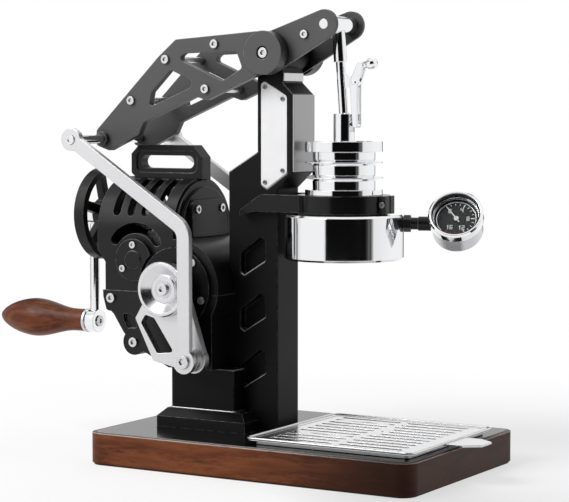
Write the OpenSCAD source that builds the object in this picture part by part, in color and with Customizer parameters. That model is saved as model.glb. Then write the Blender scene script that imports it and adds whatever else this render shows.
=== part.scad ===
// Hand-cranked espresso maker: a geared crank rocks a lever that presses a piston into the brew group.
// Frame: origin at the middle of the underside, +X towards the brew group, -Y the near side, +Z up.

/* [Base] */
// Length of the wooden board
base_l = 270; // [252:1:340]
// Depth of the wooden board
base_w = 174; // [160:1:230]
// Height of the board's top above the table
base_h = 24; // [16:0.5:30]
// Corner radius of the board
base_corner_r = 12; // [6:1:24]
// Thickness of the rubber mat under the board
mat_t = 1.5; // [1:0.5:3]
// Distance of the mat and the top plate from the board's edge
base_margin = 3; // [2:0.5:10]
// Thickness of the black top plate
top_plate_t = 2.5; // [1.5:0.5:5]

/* [Drip tray] */
// Length of the tray, without its tab
tray_l = 134; // [110:1:145]
// Width of the tray
tray_w = 132; // [90:1:140]
// Height of the tray's rim
tray_h = 4.5; // [3.5:0.5:8]
// Place of the tray's middle along the base
tray_x = 64; // [61:1:75]
// Place of the tray's middle across the base
tray_y = -10; // [-12:1:12]
// Width of the rim that stands out round the tray's pan
tray_rim_w = 5; // [2:0.5:8]
// Thickness of the tray's sheet
tray_t = 1; // [0.6:0.1:1.5]
// How far the pull tab stands out
tab_l = 25; // [15:1:35]
// Width of the pull tab at the tray
tab_w = 32; // [20:1:50]
// Width of a slot in the grate
grate_slot_w = 4.4; // [2:0.1:5]
// Distance between slots in the grate
grate_pitch = 10.6; // [6:0.2:12]
// Radius of the cup ring in the grate
cup_ring_r = 38; // [25:1:45]

/* [Column] */
// Thickness of the column across the machine
column_w = 30; // [26:1:36]
// Front face of the lower column
column_front_x = -12; // [-16:0.5:-8]
// Rear face of the lower column
column_rear_x = -54; // [-60:0.5:-48]
// Depth of the upper column from back to front
upper_depth = 30; // [26:0.5:34]
// Front face of the upper column
upper_front_x = 1; // [-4:0.5:4]
// Height at which the upper column begins
upper_z = 217; // [205:1:225]
// Depth of the pockets in the column's sides
pocket_depth = 6; // [2:0.5:9]
// Height between two pockets
pocket_pitch = 42; // [34:1:46]
// Thickness of the light side panels
panel_t = 1.5; // [1:0.25:3]
// Length of the foot under the pedestal
foot_l = 78; // [66:1:90]
// Width of the foot under the pedestal
foot_w = 75; // [66:1:90]
// Height of the foot
foot_h = 14; // [10:0.5:18]
// Length of the pedestal
pedestal_l = 55; // [46:1:66]
// Width of the pedestal
pedestal_w = 60; // [46:1:64]

/* [Lever] */
// Pivot of the lever along the base
pivot_x = -15; // [-20:0.5:-10]
// Height of the lever's pivot
pivot_z = 304.4; // [290:0.2:320]
// Length from the pivot to the front pin
nose_len = 49.8; // [44:0.2:56]
// Angle of the nose above level
nose_angle = 24; // [15:0.5:30]
// Length from the pivot to the rear pin
rear_len = 158.5; // [150:0.5:168]
// Angle of the rear arm below level
rear_angle = 23.7; // [18:0.1:28]
// Thickness of the truss plates
lever_plate_t = 6; // [4:0.5:8]
// Thickness of the two nose plates
nose_plate_t = 3; // [2:0.5:4]
// Gap between plates that turn past each other
side_gap = 0.5; // [0.3:0.1:1]
// Radius of the round boss on the lever's pivot
pivot_disc_r = 16; // [13:0.5:18]
// Radius of the pivot shaft
pivot_r = 6; // [4:0.5:8]
// Radius of the front pin
front_pin_r = 3.6; // [3:0.1:5]
// Radius of the rear pin
rear_pin_r = 3.6; // [3:0.1:6]

/* [Drive] */
// Output shaft along the base
out_x = -84.4; // [-90:0.2:-80]
// Height of the output shaft
out_z = 130.7; // [126:0.1:136]
// Radius from the output shaft to the crank pin
throw_r = 57; // [50:0.5:66]
// Direction of the crank pin at rest
throw_angle = -64.4; // [-80:0.2:-50]
// Gear module
gear_m = 2; // [1.75:0.25:2.25]
// Teeth of the lay shaft's pinion
pinion_teeth = 14; // [12:1:16]
// Teeth of the output gear
out_teeth = 28; // [24:1:30]
// Teeth of the worm wheel
wheel_teeth = 22; // [20:1:24]
// Pitch radius of the worm
worm_r = 10; // [9:0.5:12]
// Starts of the worm
worm_starts = 2; // [1:1:3]
// Direction from the output shaft to the lay shaft
lay_angle = 152.8; // [146:0.2:160]
// Play between teeth
backlash = 0.9; // [0.6:0.1:1.4]
// Radius of the output shaft
out_shaft_r = 7; // [5:0.5:9]
// Radius of the lay shaft
lay_shaft_r = 5; // [4:0.5:7]
// Radius of the crank shaft
crank_shaft_r = 5; // [4:0.5:6]
// Face width of the gears
gear_w = 9; // [6:0.5:12]

/* [Gear case] */
// Half width of the case across the machine
case_half_w = 40; // [38:0.5:44]
// Wall of the case
case_wall = 5; // [4:0.5:6]
// Step in the case's outer end, below the crank shaft
case_step = 7; // [4:0.5:9]
// Outer end of the case
case_rear_x = -157; // [-160:0.5:-154]
// Inner end of the arched upper case
case_front_x = -88; // [-90:0.5:-80]
// Height of the split between the halves of the case
split_z = 126; // [122:0.5:128]
// Underside of the lower case
case_floor_z = 70; // [66:0.5:74]
// Width of a vent slot
vent_w = 7; // [5:0.5:8]
// Distance between vent slots
vent_pitch = 13; // [10:0.25:14]
// Length of the carry loop
loop_l = 65; // [56:1:70]
// Height of the carry loop
loop_h = 26; // [22:0.5:30]
// Thickness of the carry loop
loop_t = 12; // [8:0.5:16]

/* [Hand crank] */
// Length of the crank arm
arm_len = 85.5; // [70:0.5:100]
// Middle of the crank arm along the machine
arm_x = -189; // [-192:0.5:-188]
// Radius of the arm's rod
arm_r = 3.75; // [3:0.25:5]
// Outer radius of the flywheel's rim
flywheel_r = 36; // [30:0.5:40]
// Spokes of the flywheel
flywheel_spokes = 6; // [4:1:8]
// Length of the wooden grip
grip_l = 85; // [70:1:100]
// Largest radius of the wooden grip
grip_r = 15.2; // [11:0.1:17]

/* [Links] */
// Thickness of a link bar
link_t = 4.5; // [4:0.5:8]
// Width of a link bar
link_w = 10.5; // [8:0.5:13]
// Distance of a link's inner face from the middle plane
link_y = 65; // [64:0.5:72]
// Height of the bend above the crank pin
link_bend_h = 97; // [80:0.5:115]
// Radius of the bend along the bar's middle
link_bend_r = 13; // [8:0.5:20]

/* [Brew group] */
// Axis of the brew group along the base
group_x = 35.5; // [34.5:0.1:38]
// Radius of the chrome group head
head_r = 44; // [40:0.5:48]
// Underside of the group head
head_z = 154; // [150:0.5:158]
// Height of the group head
head_h = 33; // [28:0.5:38]
// Radius of the socket for the filter holder
socket_r = 29.5; // [28:0.1:34]
// Depth of the socket for the filter holder
socket_depth = 16; // [12:0.5:20]
// Bore radius of the brew cylinder
bore_r = 20.5; // [18:0.25:22]
// Wall of the brew cylinder
cylinder_wall = 2.5; // [2:0.25:4]
// Radius of the cylinder's fins
fin_r = 28.5; // [25:0.5:31]
// Top of the brew cylinder
cylinder_top_z = 240; // [236:0.5:246]
// Outer radius of the clamp ring
ring_r = 34; // [32:0.5:38]
// Height of the clamp ring
ring_h = 13; // [10:0.5:16]
// Height of the pin between the rod and the piston
rod_pin_z = 256; // [252:0.5:262]
// Radius of the connecting rod
rod_r = 3.4; // [2.5:0.1:4]
// Radius of the piston's stem
stem_r = 7.8; // [7:0.1:9]

/* [Gauge] */
// Radius of the gauge's bezel
gauge_r = 20; // [16:0.5:24]
// Depth of the gauge's case
gauge_depth = 22; // [11:0.5:24]
// Distance of the gauge from the group's axis
gauge_reach = 83; // [80:0.5:96]
// Height of the gauge's stem
gauge_z = 180.5; // [174:0.5:181]
// Direction of the gauge's stem, seen from above
gauge_turn = 20; // [0:1:30]
// Tilt of the gauge's face towards the sky
gauge_tilt = 36; // [0:1:45]

/* [Hidden] */
$fn = 64;
// Clearances: a running fit, a part laid in a recess and a body that moves past another
run_gap = 0.05;
seat_gap = 0.3;
eps = 0.01;
screw_head_h = 1.6;
screw_shank_l = 3;

column_half = column_w / 2;
nose_out = column_half + side_gap + lever_plate_t;
nose_in = nose_out - nose_plate_t;
truss_in = nose_out + side_gap;
truss_out = truss_in + lever_plate_t;
link_out = link_y + link_t;

pivot = [pivot_x, pivot_z];
front_pin_at = pivot + nose_len * [cos(nose_angle), sin(nose_angle)];
rear_pin_at = pivot - rear_len * [cos(rear_angle), sin(rear_angle)];
out_at = [out_x, out_z];
throw_at = out_at + throw_r * [cos(throw_angle), sin(throw_angle)];
gear_reach = gear_m * (pinion_teeth + out_teeth) / 2;
lay_at = out_at + gear_reach * [cos(lay_angle), sin(lay_angle)];
wheel_r = gear_m * wheel_teeth / 2;
crank_z = lay_at[1] + wheel_r + worm_r;
bend_at = [throw_at[0], throw_at[1] + link_bend_h];
rod_pin_at = [group_x, rod_pin_z];

plate_top_z = base_h + 0.4;
upper_rear_x = upper_front_x - upper_depth;
ring_z = head_z + head_h + 1;
ring_top_z = ring_z + ring_h;
cylinder_r = bore_r + cylinder_wall;
arch_z = crank_z - 10.4;
case_cavity_r = case_half_w - case_wall;
hub_y = link_y - 2;
web_t = 6;
web_y = hub_y - 13;
case_cap_y = web_y - 2;
grip_z = crank_z - arm_len;
grip_x = arm_x - 8;

// Outline of the truss plate, its points hung on the pivot or on the rear pin
truss_outline = [
    pivot + [-4, pivot_disc_r],
    pivot + [-78, 11],
    pivot + [-94, -2],
    rear_pin_at + [-6, 6.6],
    rear_pin_at + [-6, -5],
    rear_pin_at + [6, -9],
    rear_pin_at + [33, 3.3],
    rear_pin_at + [37.7, 12.6],
    pivot + [-60, -31.5],
    pivot + [-51, -34.4],
    pivot + [-6, -pivot_disc_r]
];
truss_upper_window = [
    pivot + [-76, -3.6],
    pivot + [-71, 0.6],
    pivot + [-24.7, 2],
    pivot + [-19.4, -10.9],
    pivot + [-36.7, -20.3]
];
truss_lower_window = [
    pivot + [-83, -11.4],
    pivot + [-63, -20],
    pivot + [-65, -25],
    pivot + [-103, -40],
    pivot + [-100, -28]
];
truss_screws = [
    pivot + [-43.4, 7.1],
    pivot + [-87, -3.7],
    rear_pin_at + [26.6, 29.3],
    pivot + [-51.6, -26]
];
nose_screw_at = pivot + 0.65 * nose_len * [cos(nose_angle), sin(nose_angle)];

// Outline of the column's side, upwards along the front and down along the back
ear_r = 13;
column_outline = [
    [column_rear_x, base_h],
    [column_front_x, base_h],
    [column_front_x, upper_z - 12],
    [upper_front_x, upper_z],
    [upper_front_x, upper_z + 57.5],
    [upper_front_x - 9, upper_z + 66],
    [upper_front_x - 9, pivot_z],
    [upper_rear_x, pivot_z - 8],
    [upper_rear_x, upper_z + 15],
    [column_rear_x, upper_z]
];
panel_outline = [
    [upper_rear_x + 3, upper_z - 9],
    [upper_rear_x + 8, upper_z - 12],
    [upper_front_x - 5, upper_z],
    [upper_front_x - 5, upper_z + 56],
    [upper_rear_x + 6, upper_z + 67],
    [upper_rear_x + 3, upper_z + 65]
];
panel_holes_at = [
    [upper_rear_x + 6.3, upper_z - 7.4],
    [upper_front_x - 8.6, upper_z + 1.5],
    [upper_front_x - 8.6, upper_z + 54],
    [upper_rear_x + 6.3, upper_z + 62.6]
];

// Outline of the lower case, from the rear lug round the floor to the column
lug_screw_r = 3.6;
rear_lug_r = 5.5;
floor_lug_r = 9.8;
lower_lugs = [
    [case_rear_x + 12.5, split_z - rear_lug_r - 0.5, rear_lug_r],
    [lay_at[0] - 2.2, case_floor_z + 17.2, floor_lug_r]
];
lower_rear_x = case_rear_x + case_step;
lower_outline = [
    [lower_rear_x - 2.4, split_z],
    [lower_rear_x - 2.2, split_z - 5],
    [lower_rear_x + 0.6, split_z - 14.8],
    [lower_rear_x + 2.4, split_z - 15.8],
    [lower_rear_x + 5.2, split_z - 16.2],
    [lower_rear_x + 7.4, split_z - 18],
    [lay_at[0] - 11.4, case_floor_z + 24],
    [lay_at[0] + 2, case_floor_z + 13],
    [out_x - 8, case_floor_z],
    [column_rear_x, case_floor_z],
    [column_rear_x, split_z]
];
lower_recess = [
    [lay_at[0] - 11.8, case_floor_z + 38.4],
    [lay_at[0] - 4.8, case_floor_z + 38.9],
    [lay_at[0] - 0.7, case_floor_z + 33.9],
    [lay_at[0] + 0.4, case_floor_z + 28],
    [lay_at[0] - 7.3, case_floor_z + 27.6],
    [lay_at[0] - 11.4, case_floor_z + 33.3]
];
lower_cavity = [
    [lower_rear_x + case_wall, split_z + eps],
    [lower_rear_x + case_wall, split_z - 9],
    [lay_at[0], case_floor_z + 30],
    [out_x - 26, case_floor_z + 14],
    [out_x + 12, case_floor_z + 14],
    [column_rear_x - case_wall, out_z - 34],
    [column_rear_x - case_wall, split_z + eps]
];

// Colours, as the finishes look
black = [0.07, 0.07, 0.075];
satin_black = [0.11, 0.11, 0.115];
silver = [0.78, 0.78, 0.8];
chrome = [0.86, 0.87, 0.89];
walnut = [0.33, 0.16, 0.09];
panel_grey = [0.82, 0.82, 0.83];
steel = [0.6, 0.6, 0.62];
brass = [0.72, 0.56, 0.3];
rubber = [0.05, 0.05, 0.05];
dial_black = [0.03, 0.03, 0.03];
glass = [0.85, 0.9, 0.92, 0.3];

// A plate between two depths, drawn in the plane of the lever's motion
module plate(near_y, far_y) {
    translate([0, far_y, 0]) rotate([90, 0, 0]) linear_extrude(far_y - near_y) children();
}

// The same plate on the near and on the far side
module plate_pair(inner, outer) {
    plate(inner, outer) children();
    plate(-outer, -inner) children();
}

module rod_y(at, r, near_y, far_y) {
    translate([at[0], far_y, at[1]]) rotate([90, 0, 0]) cylinder(r = r, h = far_y - near_y);
}

module rod_x(y, z, r, low_x, high_x) {
    translate([low_x, y, z]) rotate([0, 90, 0]) cylinder(r = r, h = high_x - low_x);
}

// Turns a part drawn upwards to face the near side, the far side or the group's side
module face_near(at, y) {
    translate([at[0], y, at[1]]) rotate([90, 0, 0]) children();
}

module face_far(at, y) {
    translate([at[0], y, at[1]]) rotate([-90, 0, 0]) children();
}

module face_front(x, y, z) {
    translate([x, y, z]) rotate([0, 90, 0]) children();
}

module rounded_rect(l, w, r) {
    square([l - 2 * r, w], center = true);
    square([l, w - 2 * r], center = true);
    for (sx = [-1, 1], sy = [-1, 1]) {
        translate([sx * (l / 2 - r), sy * (w / 2 - r)]) circle(r);
    }
}

// Two circles and the straight sides that touch both
module taper_bar(p, p_r, q, q_r) {
    run = q - p;
    heading = atan2(run[1], run[0]);
    swing = acos((p_r - q_r) / norm(run));
    left = [cos(heading + swing), sin(heading + swing)];
    right = [cos(heading - swing), sin(heading - swing)];
    polygon([p + p_r * left, q + q_r * left, q + q_r * right, p + p_r * right]);
    translate(p) circle(p_r);
    translate(q) circle(q_r);
}

module rounded_polygon(points, r) {
    offset(r = r, $fn = 32) offset(delta = -r) polygon(points);
}

// A cap screw with a hexagon socket; its head stands on z = 0
module cap_screw(r, h = screw_head_h, shank = screw_shank_l) {
    difference() {
        union() {
            cylinder(r = r, h = h);
            translate([0, 0, -shank]) cylinder(r = r / 2, h = shank + eps);
        }
        translate([0, 0, h * 0.3]) cylinder(r = r * 0.55, h = h, $fn = 6);
    }
}

module screw_hole(r, shank = screw_shank_l) {
    translate([0, 0, -shank - seat_gap]) cylinder(r = r / 2 + run_gap, h = shank + 2 * seat_gap);
}

// Teeth with straight flanks, the first of them pointing along phase
module spur_outline(teeth, phase) {
    pitch_r = gear_m * teeth / 2;
    root_r = pitch_r - 1.2 * gear_m;
    tip_r = pitch_r + 0.8 * gear_m;
    half = (PI * gear_m - backlash) / 4;
    flank = tan(20);
    root_half = half + flank * (pitch_r - root_r);
    tip_half = half - flank * (tip_r - pitch_r);
    sides = [[root_r, -root_half], [tip_r, -tip_half], [tip_r, tip_half], [root_r, root_half]];
    polygon([
        for (tooth = [0 : teeth - 1], side = sides)
            let (angle = phase + 360 * tooth / teeth + atan(side[1] / side[0]))
            side[0] * [cos(angle), sin(angle)]
    ]);
}

module anti_slip_mat() {
    color(rubber) linear_extrude(mat_t)
        rounded_rect(base_l - base_margin, base_w - base_margin, base_corner_r - base_margin / 2);
}

module top_plate_outline(gap) {
    rounded_rect(base_l - 2 * base_margin - gap, base_w - 2 * base_margin - gap, base_corner_r - base_margin);
}

module base_board() {
    color(walnut) difference() {
        translate([0, 0, mat_t]) linear_extrude(base_h - mat_t) rounded_rect(base_l, base_w, base_corner_r);
        translate([0, 0, plate_top_z - top_plate_t]) linear_extrude(top_plate_t) top_plate_outline(0);
    }
}

module base_top_plate() {
    color(black) translate([0, 0, plate_top_z - top_plate_t]) linear_extrude(top_plate_t)
        top_plate_outline(2 * seat_gap);
}

tray_z = plate_top_z + seat_gap;
tray_corner_r = 6;
tray_edge_x = tray_l / 2;
pan_l = tray_l - 2 * tray_rim_w;
pan_w = tray_w - 2 * tray_rim_w;
pan_corner_r = 4;

module drip_tray() {
    color(silver) translate([tray_x, tray_y, tray_z]) {
        difference() {
            union() {
                linear_extrude(tray_h) rounded_rect(pan_l, pan_w, pan_corner_r);
                translate([0, 0, tray_h - 1.5 * tray_t]) linear_extrude(1.5 * tray_t)
                    rounded_rect(tray_l, tray_w, tray_corner_r);
            }
            translate([0, 0, tray_t]) linear_extrude(tray_h)
                rounded_rect(pan_l - 2 * tray_t, pan_w - 2 * tray_t, pan_corner_r - tray_t);
        }
        translate([0, 0, tray_h - 1.5 * tray_t]) linear_extrude(1.5 * tray_t) polygon([
            [tray_edge_x - tray_t / 2, -tab_w / 2],
            [tray_edge_x + tab_l * 0.55, -tab_w / 2],
            [tray_edge_x + tab_l, -tab_w / 4],
            [tray_edge_x + tab_l, tab_w / 4],
            [tray_edge_x + tab_l * 0.55, tab_w / 2],
            [tray_edge_x - tray_t / 2, tab_w / 2]
        ]);
    }
}

grate_l = pan_l - 2 * tray_t - 2 * seat_gap;
grate_w = pan_w - 2 * tray_t - 2 * seat_gap;
grate_t = 1.2;
grate_rows = floor((grate_w / 2 - 6) / grate_pitch);

module grate_slots() {
    for (row = [-grate_rows : grate_rows]) {
        translate([0, row * grate_pitch]) square([grate_l - 16, grate_slot_w], center = true);
    }
}

module ring_outline(outer, inner) {
    difference() {
        circle(outer);
        circle(inner);
    }
}

module drip_grate() {
    cup_x = group_x - tray_x;
    leg_h = tray_h - tray_t - grate_t - 0.2;
    color(silver) translate([tray_x, tray_y, tray_z]) {
        translate([0, 0, tray_t + leg_h]) linear_extrude(grate_t) difference() {
            rounded_rect(grate_l, grate_w, pan_corner_r - tray_t - seat_gap);
            difference() {
                grate_slots();
                translate([cup_x, -tray_y]) ring_outline(cup_ring_r, cup_ring_r - 5);
                square([6, grate_w], center = true);
            }
        }
        for (sx = [-1, 1], sy = [-1, 1]) {
            translate([sx * (grate_l / 2 - 5), sy * (grate_w / 2 - 5), tray_t]) cylinder(r = 2, h = leg_h);
        }
    }
}

// Room for the column's foot in what it stands beside
module column_notch(height) {
    translate([column_rear_x, -column_half, 0]) cube([100, column_w, height]);
}

pedestal_x = -68.5;
foot_x = -66;

module pedestal_foot() {
    rise = foot_h * 0.43;
    color(black) difference() {
        translate([foot_x, 0, plate_top_z]) hull() {
            translate([-foot_l / 2, -foot_w / 2, 0]) cube([foot_l, foot_w, foot_h - rise]);
            translate([-foot_l / 2 + rise, -foot_w / 2 + rise, 0])
                cube([foot_l - 2 * rise, foot_w - 2 * rise, foot_h]);
        }
        column_notch(base_h + 2 * foot_h);
    }
}

module pedestal() {
    color(black) difference() {
        translate([pedestal_x - pedestal_l / 2, -pedestal_w / 2, plate_top_z + foot_h])
            cube([pedestal_l, pedestal_w, case_floor_z - plate_top_z - foot_h]);
        column_notch(case_floor_z + 1);
    }
}

module pocket_outline() {
    left = column_rear_x + 10;
    right = column_front_x - 10.6;
    lean = (right - left) * 0.62;
    rounded_polygon([
        [left, 0], [left + 3, -2], [right, lean - 4],
        [right, 24], [right - 4, 27], [left, 14]
    ], 1.5);
}

module column_solid() {
    intersection() {
        plate(-column_half, column_half) union() {
            polygon(column_outline);
            translate(pivot) circle(ear_r);
        }
        translate([column_rear_x - 1, -column_w, plate_top_z]) cube([200, 2 * column_w, pivot_z]);
    }
}

module panel_shape() {
    rounded_polygon(panel_outline, 2);
}

module column() {
    pocket_floor_y = column_half - pocket_depth;
    color(black) difference() {
        column_solid();
        for (step = [0 : 2]) {
            plate_pair(pocket_floor_y, column_half + 1)
                translate([0, upper_z - 75 - step * pocket_pitch]) pocket_outline();
        }
        plate_pair(column_half - panel_t, column_half + 1) offset(delta = seat_gap) panel_shape();
        rod_y(pivot, pivot_r, -column_w, column_w);
        for (at = panel_holes_at) {
            face_near(at, -column_half + panel_t) screw_hole(panel_screw_r);
            face_far(at, column_half - panel_t) screw_hole(panel_screw_r);
        }
    }
}

front_plate_t = 1.2;

module column_front_plate() {
    color(steel) translate([upper_front_x, -column_half, upper_z + 0.5])
        cube([front_plate_t, column_w, 56.5]);
}

module neck_plate() {
    color(steel) translate([upper_front_x - 9, -column_half + 1, upper_z + 67]) cube([1.2, column_w - 2, 6]);
}

panel_face_y = column_half + 0.2;
panel_screw_r = 1.6;

module side_panels() {
    color(panel_grey) difference() {
        plate_pair(column_half - panel_t, panel_face_y) panel_shape();
        for (at = panel_holes_at) rod_y(at, panel_screw_r / 2 + run_gap, -column_w, column_w);
    }
}

module column_screws() {
    color(steel) {
        for (at = panel_holes_at) {
            face_near(at, -panel_face_y) cap_screw(panel_screw_r, 0.8, panel_t + 2);
            face_far(at, panel_face_y) cap_screw(panel_screw_r, 0.8, panel_t + 2);
        }
        face_near(clamp_screw_at, -clamp_ear_y) cap_screw(2.2, 1.2, 2 * clamp_ear_y - 1.5);
    }
}

pivot_disc_t = 4;
pivot_sink_r = 4.9;
pivot_sink_y = truss_out + 1.4;
pivot_screw_r = 3.7;

module pivot_shaft() {
    color(steel) rod_y(pivot, pivot_r - run_gap, -truss_out, truss_out);
}

module truss_outline_shape() {
    union() {
        difference() {
            rounded_polygon(truss_outline, 3);
            rounded_polygon(truss_upper_window, 2.5);
            rounded_polygon(truss_lower_window, 2.5);
        }
        translate(pivot) circle(pivot_disc_r);
    }
}

module truss_plates() {
    color(satin_black) difference() {
        union() {
            plate_pair(truss_in, truss_out) truss_outline_shape();
            plate_pair(truss_in, truss_out + 3) translate(rear_pin_at) circle(rear_pin_r + 2);
        }
        rod_y(pivot, pivot_r, -link_y, link_y);
        rod_y(rear_pin_at, rear_pin_r, -link_y, link_y);
        for (at = truss_screws) rod_y(at, spacer_r, -link_y, link_y);
    }
}

nose_root_r = 15;
nose_tip_r = 10.5;

module nose_plates() {
    color(satin_black) difference() {
        plate_pair(nose_in, nose_out) taper_bar(pivot, nose_root_r, front_pin_at, nose_tip_r);
        rod_y(pivot, pivot_r, -link_y, link_y);
        rod_y(front_pin_at, front_pin_r, -link_y, link_y);
        face_near(nose_screw_at, -nose_out) screw_hole(nose_screw_r);
        face_far(nose_screw_at, nose_out) screw_hole(nose_screw_r);
    }
}

module pivot_discs() {
    color(satin_black) difference() {
        plate_pair(truss_out, truss_out + pivot_disc_t) translate(pivot) circle(pivot_disc_r);
        rod_y(pivot, pivot_screw_r / 2 + run_gap, -link_y, link_y);
        rod_y(pivot, pivot_sink_r, pivot_sink_y, link_y);
        rod_y(pivot, pivot_sink_r, -link_y, -pivot_sink_y);
    }
}

spacer_r = 2.7;
truss_screw_r = 3.2;
nose_screw_r = 3;

module truss_spacers() {
    color(steel) for (at = truss_screws) rod_y(at, spacer_r - run_gap, -truss_out, truss_out);
}

module lever_screws() {
    color(steel) {
        for (at = truss_screws) {
            face_near(at, -truss_out) cap_screw(truss_screw_r, 1.8, 0);
            face_far(at, truss_out) cap_screw(truss_screw_r, 1.8, 0);
        }
        face_near(nose_screw_at, -nose_out) cap_screw(nose_screw_r);
        face_far(nose_screw_at, nose_out) cap_screw(nose_screw_r);
        face_near(pivot, -pivot_sink_y) cap_screw(pivot_screw_r, 2.2, pivot_sink_y - truss_out);
        face_far(pivot, pivot_sink_y) cap_screw(pivot_screw_r, 2.2, pivot_sink_y - truss_out);
    }
}

module rear_pin() {
    color(chrome) difference() {
        rod_y(rear_pin_at, rear_pin_r - run_gap, -link_out - 1, link_out + 1);
        face_near(rear_pin_at, -link_out) cylinder(r = 2.5, h = 3, $fn = 6);
        face_far(rear_pin_at, link_out) cylinder(r = 2.5, h = 3, $fn = 6);
    }
}

module front_pin() {
    color(chrome) rod_y(front_pin_at, front_pin_r - run_gap, -nose_out - 0.3, nose_out + 0.3);
}

// Arch across the machine, drawn in the plane square to the crank shaft
module arch_outline(half_w, floor_z) {
    translate([0, arch_z]) circle(half_w);
    translate([-half_w, floor_z]) square([2 * half_w, arch_z - floor_z]);
}

// Extrudes an outline drawn across the machine along X
module along_x(low_x, high_x) {
    translate([low_x, 0, 0]) rotate([90, 0, 90]) linear_extrude(high_x - low_x) children();
}

vent_rows = 4;
vent_first_x = case_rear_x + 16.2;
vent_floor_z = arch_z + 14.8;

module vent_cuts() {
    for (row = [0 : vent_rows - 1], side = [-1, 1]) {
        x = vent_first_x + row * vent_pitch;
        y = side < 0 ? -case_half_w - 1 : 10;
        translate([x - vent_w / 2, y, vent_floor_z]) cube([vent_w, case_half_w - 9, case_half_w]);
        translate([x, y, vent_floor_z]) rotate([-90, 0, 0]) cylinder(r = vent_w / 2, h = case_half_w - 9);
    }
}

cap_r = 16;
window_r = 24;
window_h = 8;

// Curved window above the lay shaft's bearing cap
module kidney_outline() {
    translate(lay_at) {
        intersection() {
            ring_outline(window_r + window_h / 2, window_r - window_h / 2);
            polygon([[0, 0], 60 * [cos(38), sin(38)], [0, 60], 60 * [cos(142), sin(142)]]);
        }
        for (end = [38, 142]) translate(window_r * [cos(end), sin(end)]) circle(window_h / 2);
    }
}

cap_screw_angles = [90, 215];
cap_screw_ring_r = 11.5;

function ring_point(at, r, angle) = at + r * [cos(angle), sin(angle)];

out_boss_r = 30;
housing_r = out_boss_r + 6;
housing_cavity_r = out_boss_r + 1.5;
housing_cavity_y = case_cavity_r - 4;
case_end_wall = 4;
cavity_rear_x = case_rear_x + case_step + case_end_wall;

// Round housing of the output gear, with room for the column between its cheeks
module gear_housing() {
    difference() {
        rod_y(out_at, housing_r, -case_half_w, case_half_w);
        translate([case_rear_x, -2 * case_half_w, 0]) cube([200, 4 * case_half_w, case_floor_z]);
        translate([column_rear_x, -column_half - seat_gap, 0])
            cube([100, column_w + 2 * seat_gap, pivot_z]);
    }
}

// Space inside both halves of the case, with the round seats of the bearing caps
module case_cavity() {
    along_x(cavity_rear_x, case_front_x + eps) arch_outline(case_cavity_r, split_z - 1);
    plate(-case_cavity_r, case_cavity_r) polygon(lower_cavity);
    rod_y(out_at, housing_cavity_r, -housing_cavity_y, housing_cavity_y);
    rod_y(out_at, out_boss_r + seat_gap, -case_half_w - 1, case_half_w + 1);
}

module above_split() {
    translate([case_rear_x - 1, -2 * case_half_w, split_z]) cube([300, 4 * case_half_w, 300]);
}

module gear_case_upper() {
    step_x = case_rear_x + case_step;
    color(satin_black) difference() {
        union() {
            along_x(case_rear_x, case_front_x) arch_outline(case_half_w, split_z);
            intersection() {
                gear_housing();
                above_split();
            }
        }
        case_cavity();
        plate(-2 * case_half_w, 2 * case_half_w) polygon([
            [case_rear_x - 1, split_z - 1], [step_x, split_z - 1], [step_x, arch_z - 24],
            [case_rear_x, arch_z - 15], [case_rear_x - 1, arch_z - 15]
        ]);
        vent_cuts();
        plate(-case_half_w - 1, -case_cavity_r + 1) kidney_outline();
        rod_y(lay_at, lay_shaft_r + run_gap, -case_half_w - 1, case_half_w + 1);
        rod_x(0, crank_z, bush_r + run_gap, case_rear_x - 1, cavity_rear_x + 1);
        for (angle = cap_screw_angles) {
            face_near(ring_point(lay_at, cap_screw_ring_r, angle), -case_half_w) screw_hole(2.6, 4);
            face_far(ring_point(lay_at, cap_screw_ring_r, angle), case_half_w) screw_hole(2.6, 4);
        }
        translate([loop_x, 0, arch_z + case_half_w + 1])
            cube([loop_l + 1, loop_t + 2 * seat_gap, 6], center = true);
    }
}

module gear_case_lower() {
    color(satin_black) difference() {
        union() {
            plate(-case_half_w, case_half_w) polygon(lower_outline);
            for (at = lower_lugs) rod_y(at, at[2], -case_half_w, case_half_w);
            gear_housing();
        }
        case_cavity();
        plate_pair(case_half_w - case_wall / 2, case_half_w + 1) rounded_polygon(lower_recess, 1);
        for (at = lower_lugs) {
            face_near(at, -case_half_w) screw_hole(lug_screw_r);
            face_far(at, case_half_w) screw_hole(lug_screw_r);
        }
        above_split();
    }
}

end_cap_t = 4;
end_bearing_l = 9;

// Stepped end plate with a bearing boss that reaches into the case
module case_end_cap() {
    color(satin_black) difference() {
        union() {
            along_x(case_front_x, case_front_x + end_cap_t / 2) arch_outline(case_half_w - 2, arch_z - 16);
            along_x(case_front_x, case_front_x + end_cap_t) arch_outline(case_half_w - 7, arch_z - 16);
            rod_x(0, crank_z, crank_shaft_r + 5, case_front_x - end_bearing_l, case_front_x + eps);
        }
        rod_y(out_at, housing_r + seat_gap, -link_y, link_y);
        for (y = flange_screws_y)
            face_front(case_front_x + end_cap_t, y, flange_screw_z) screw_hole(flange_screw_r);
        rod_x(0, crank_z, crank_shaft_r + run_gap, case_front_x - end_bearing_l - 1, case_front_x - 1);
    }
}

flange_screws_y = [-17, 17];
flange_screw_z = arch_z + 16.5;
flange_screw_r = 3.2;
flange_t = 3;

module end_cap_flange() {
    face = case_front_x + end_cap_t;
    color(satin_black) difference() {
        along_x(face, face + flange_t) translate([0, arch_z + 9]) rounded_rect(47, 29, 4);
        rod_y(out_at, housing_r + seat_gap, -link_y, link_y);
        for (y = flange_screws_y)
            face_front(face + flange_t, y, flange_screw_z) screw_hole(flange_screw_r, 6);
    }
}

loop_x = case_rear_x + 40.5;
loop_slot_h = 9.8;
loop_border = 3.4;
loop_border_t = 1.2;

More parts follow.
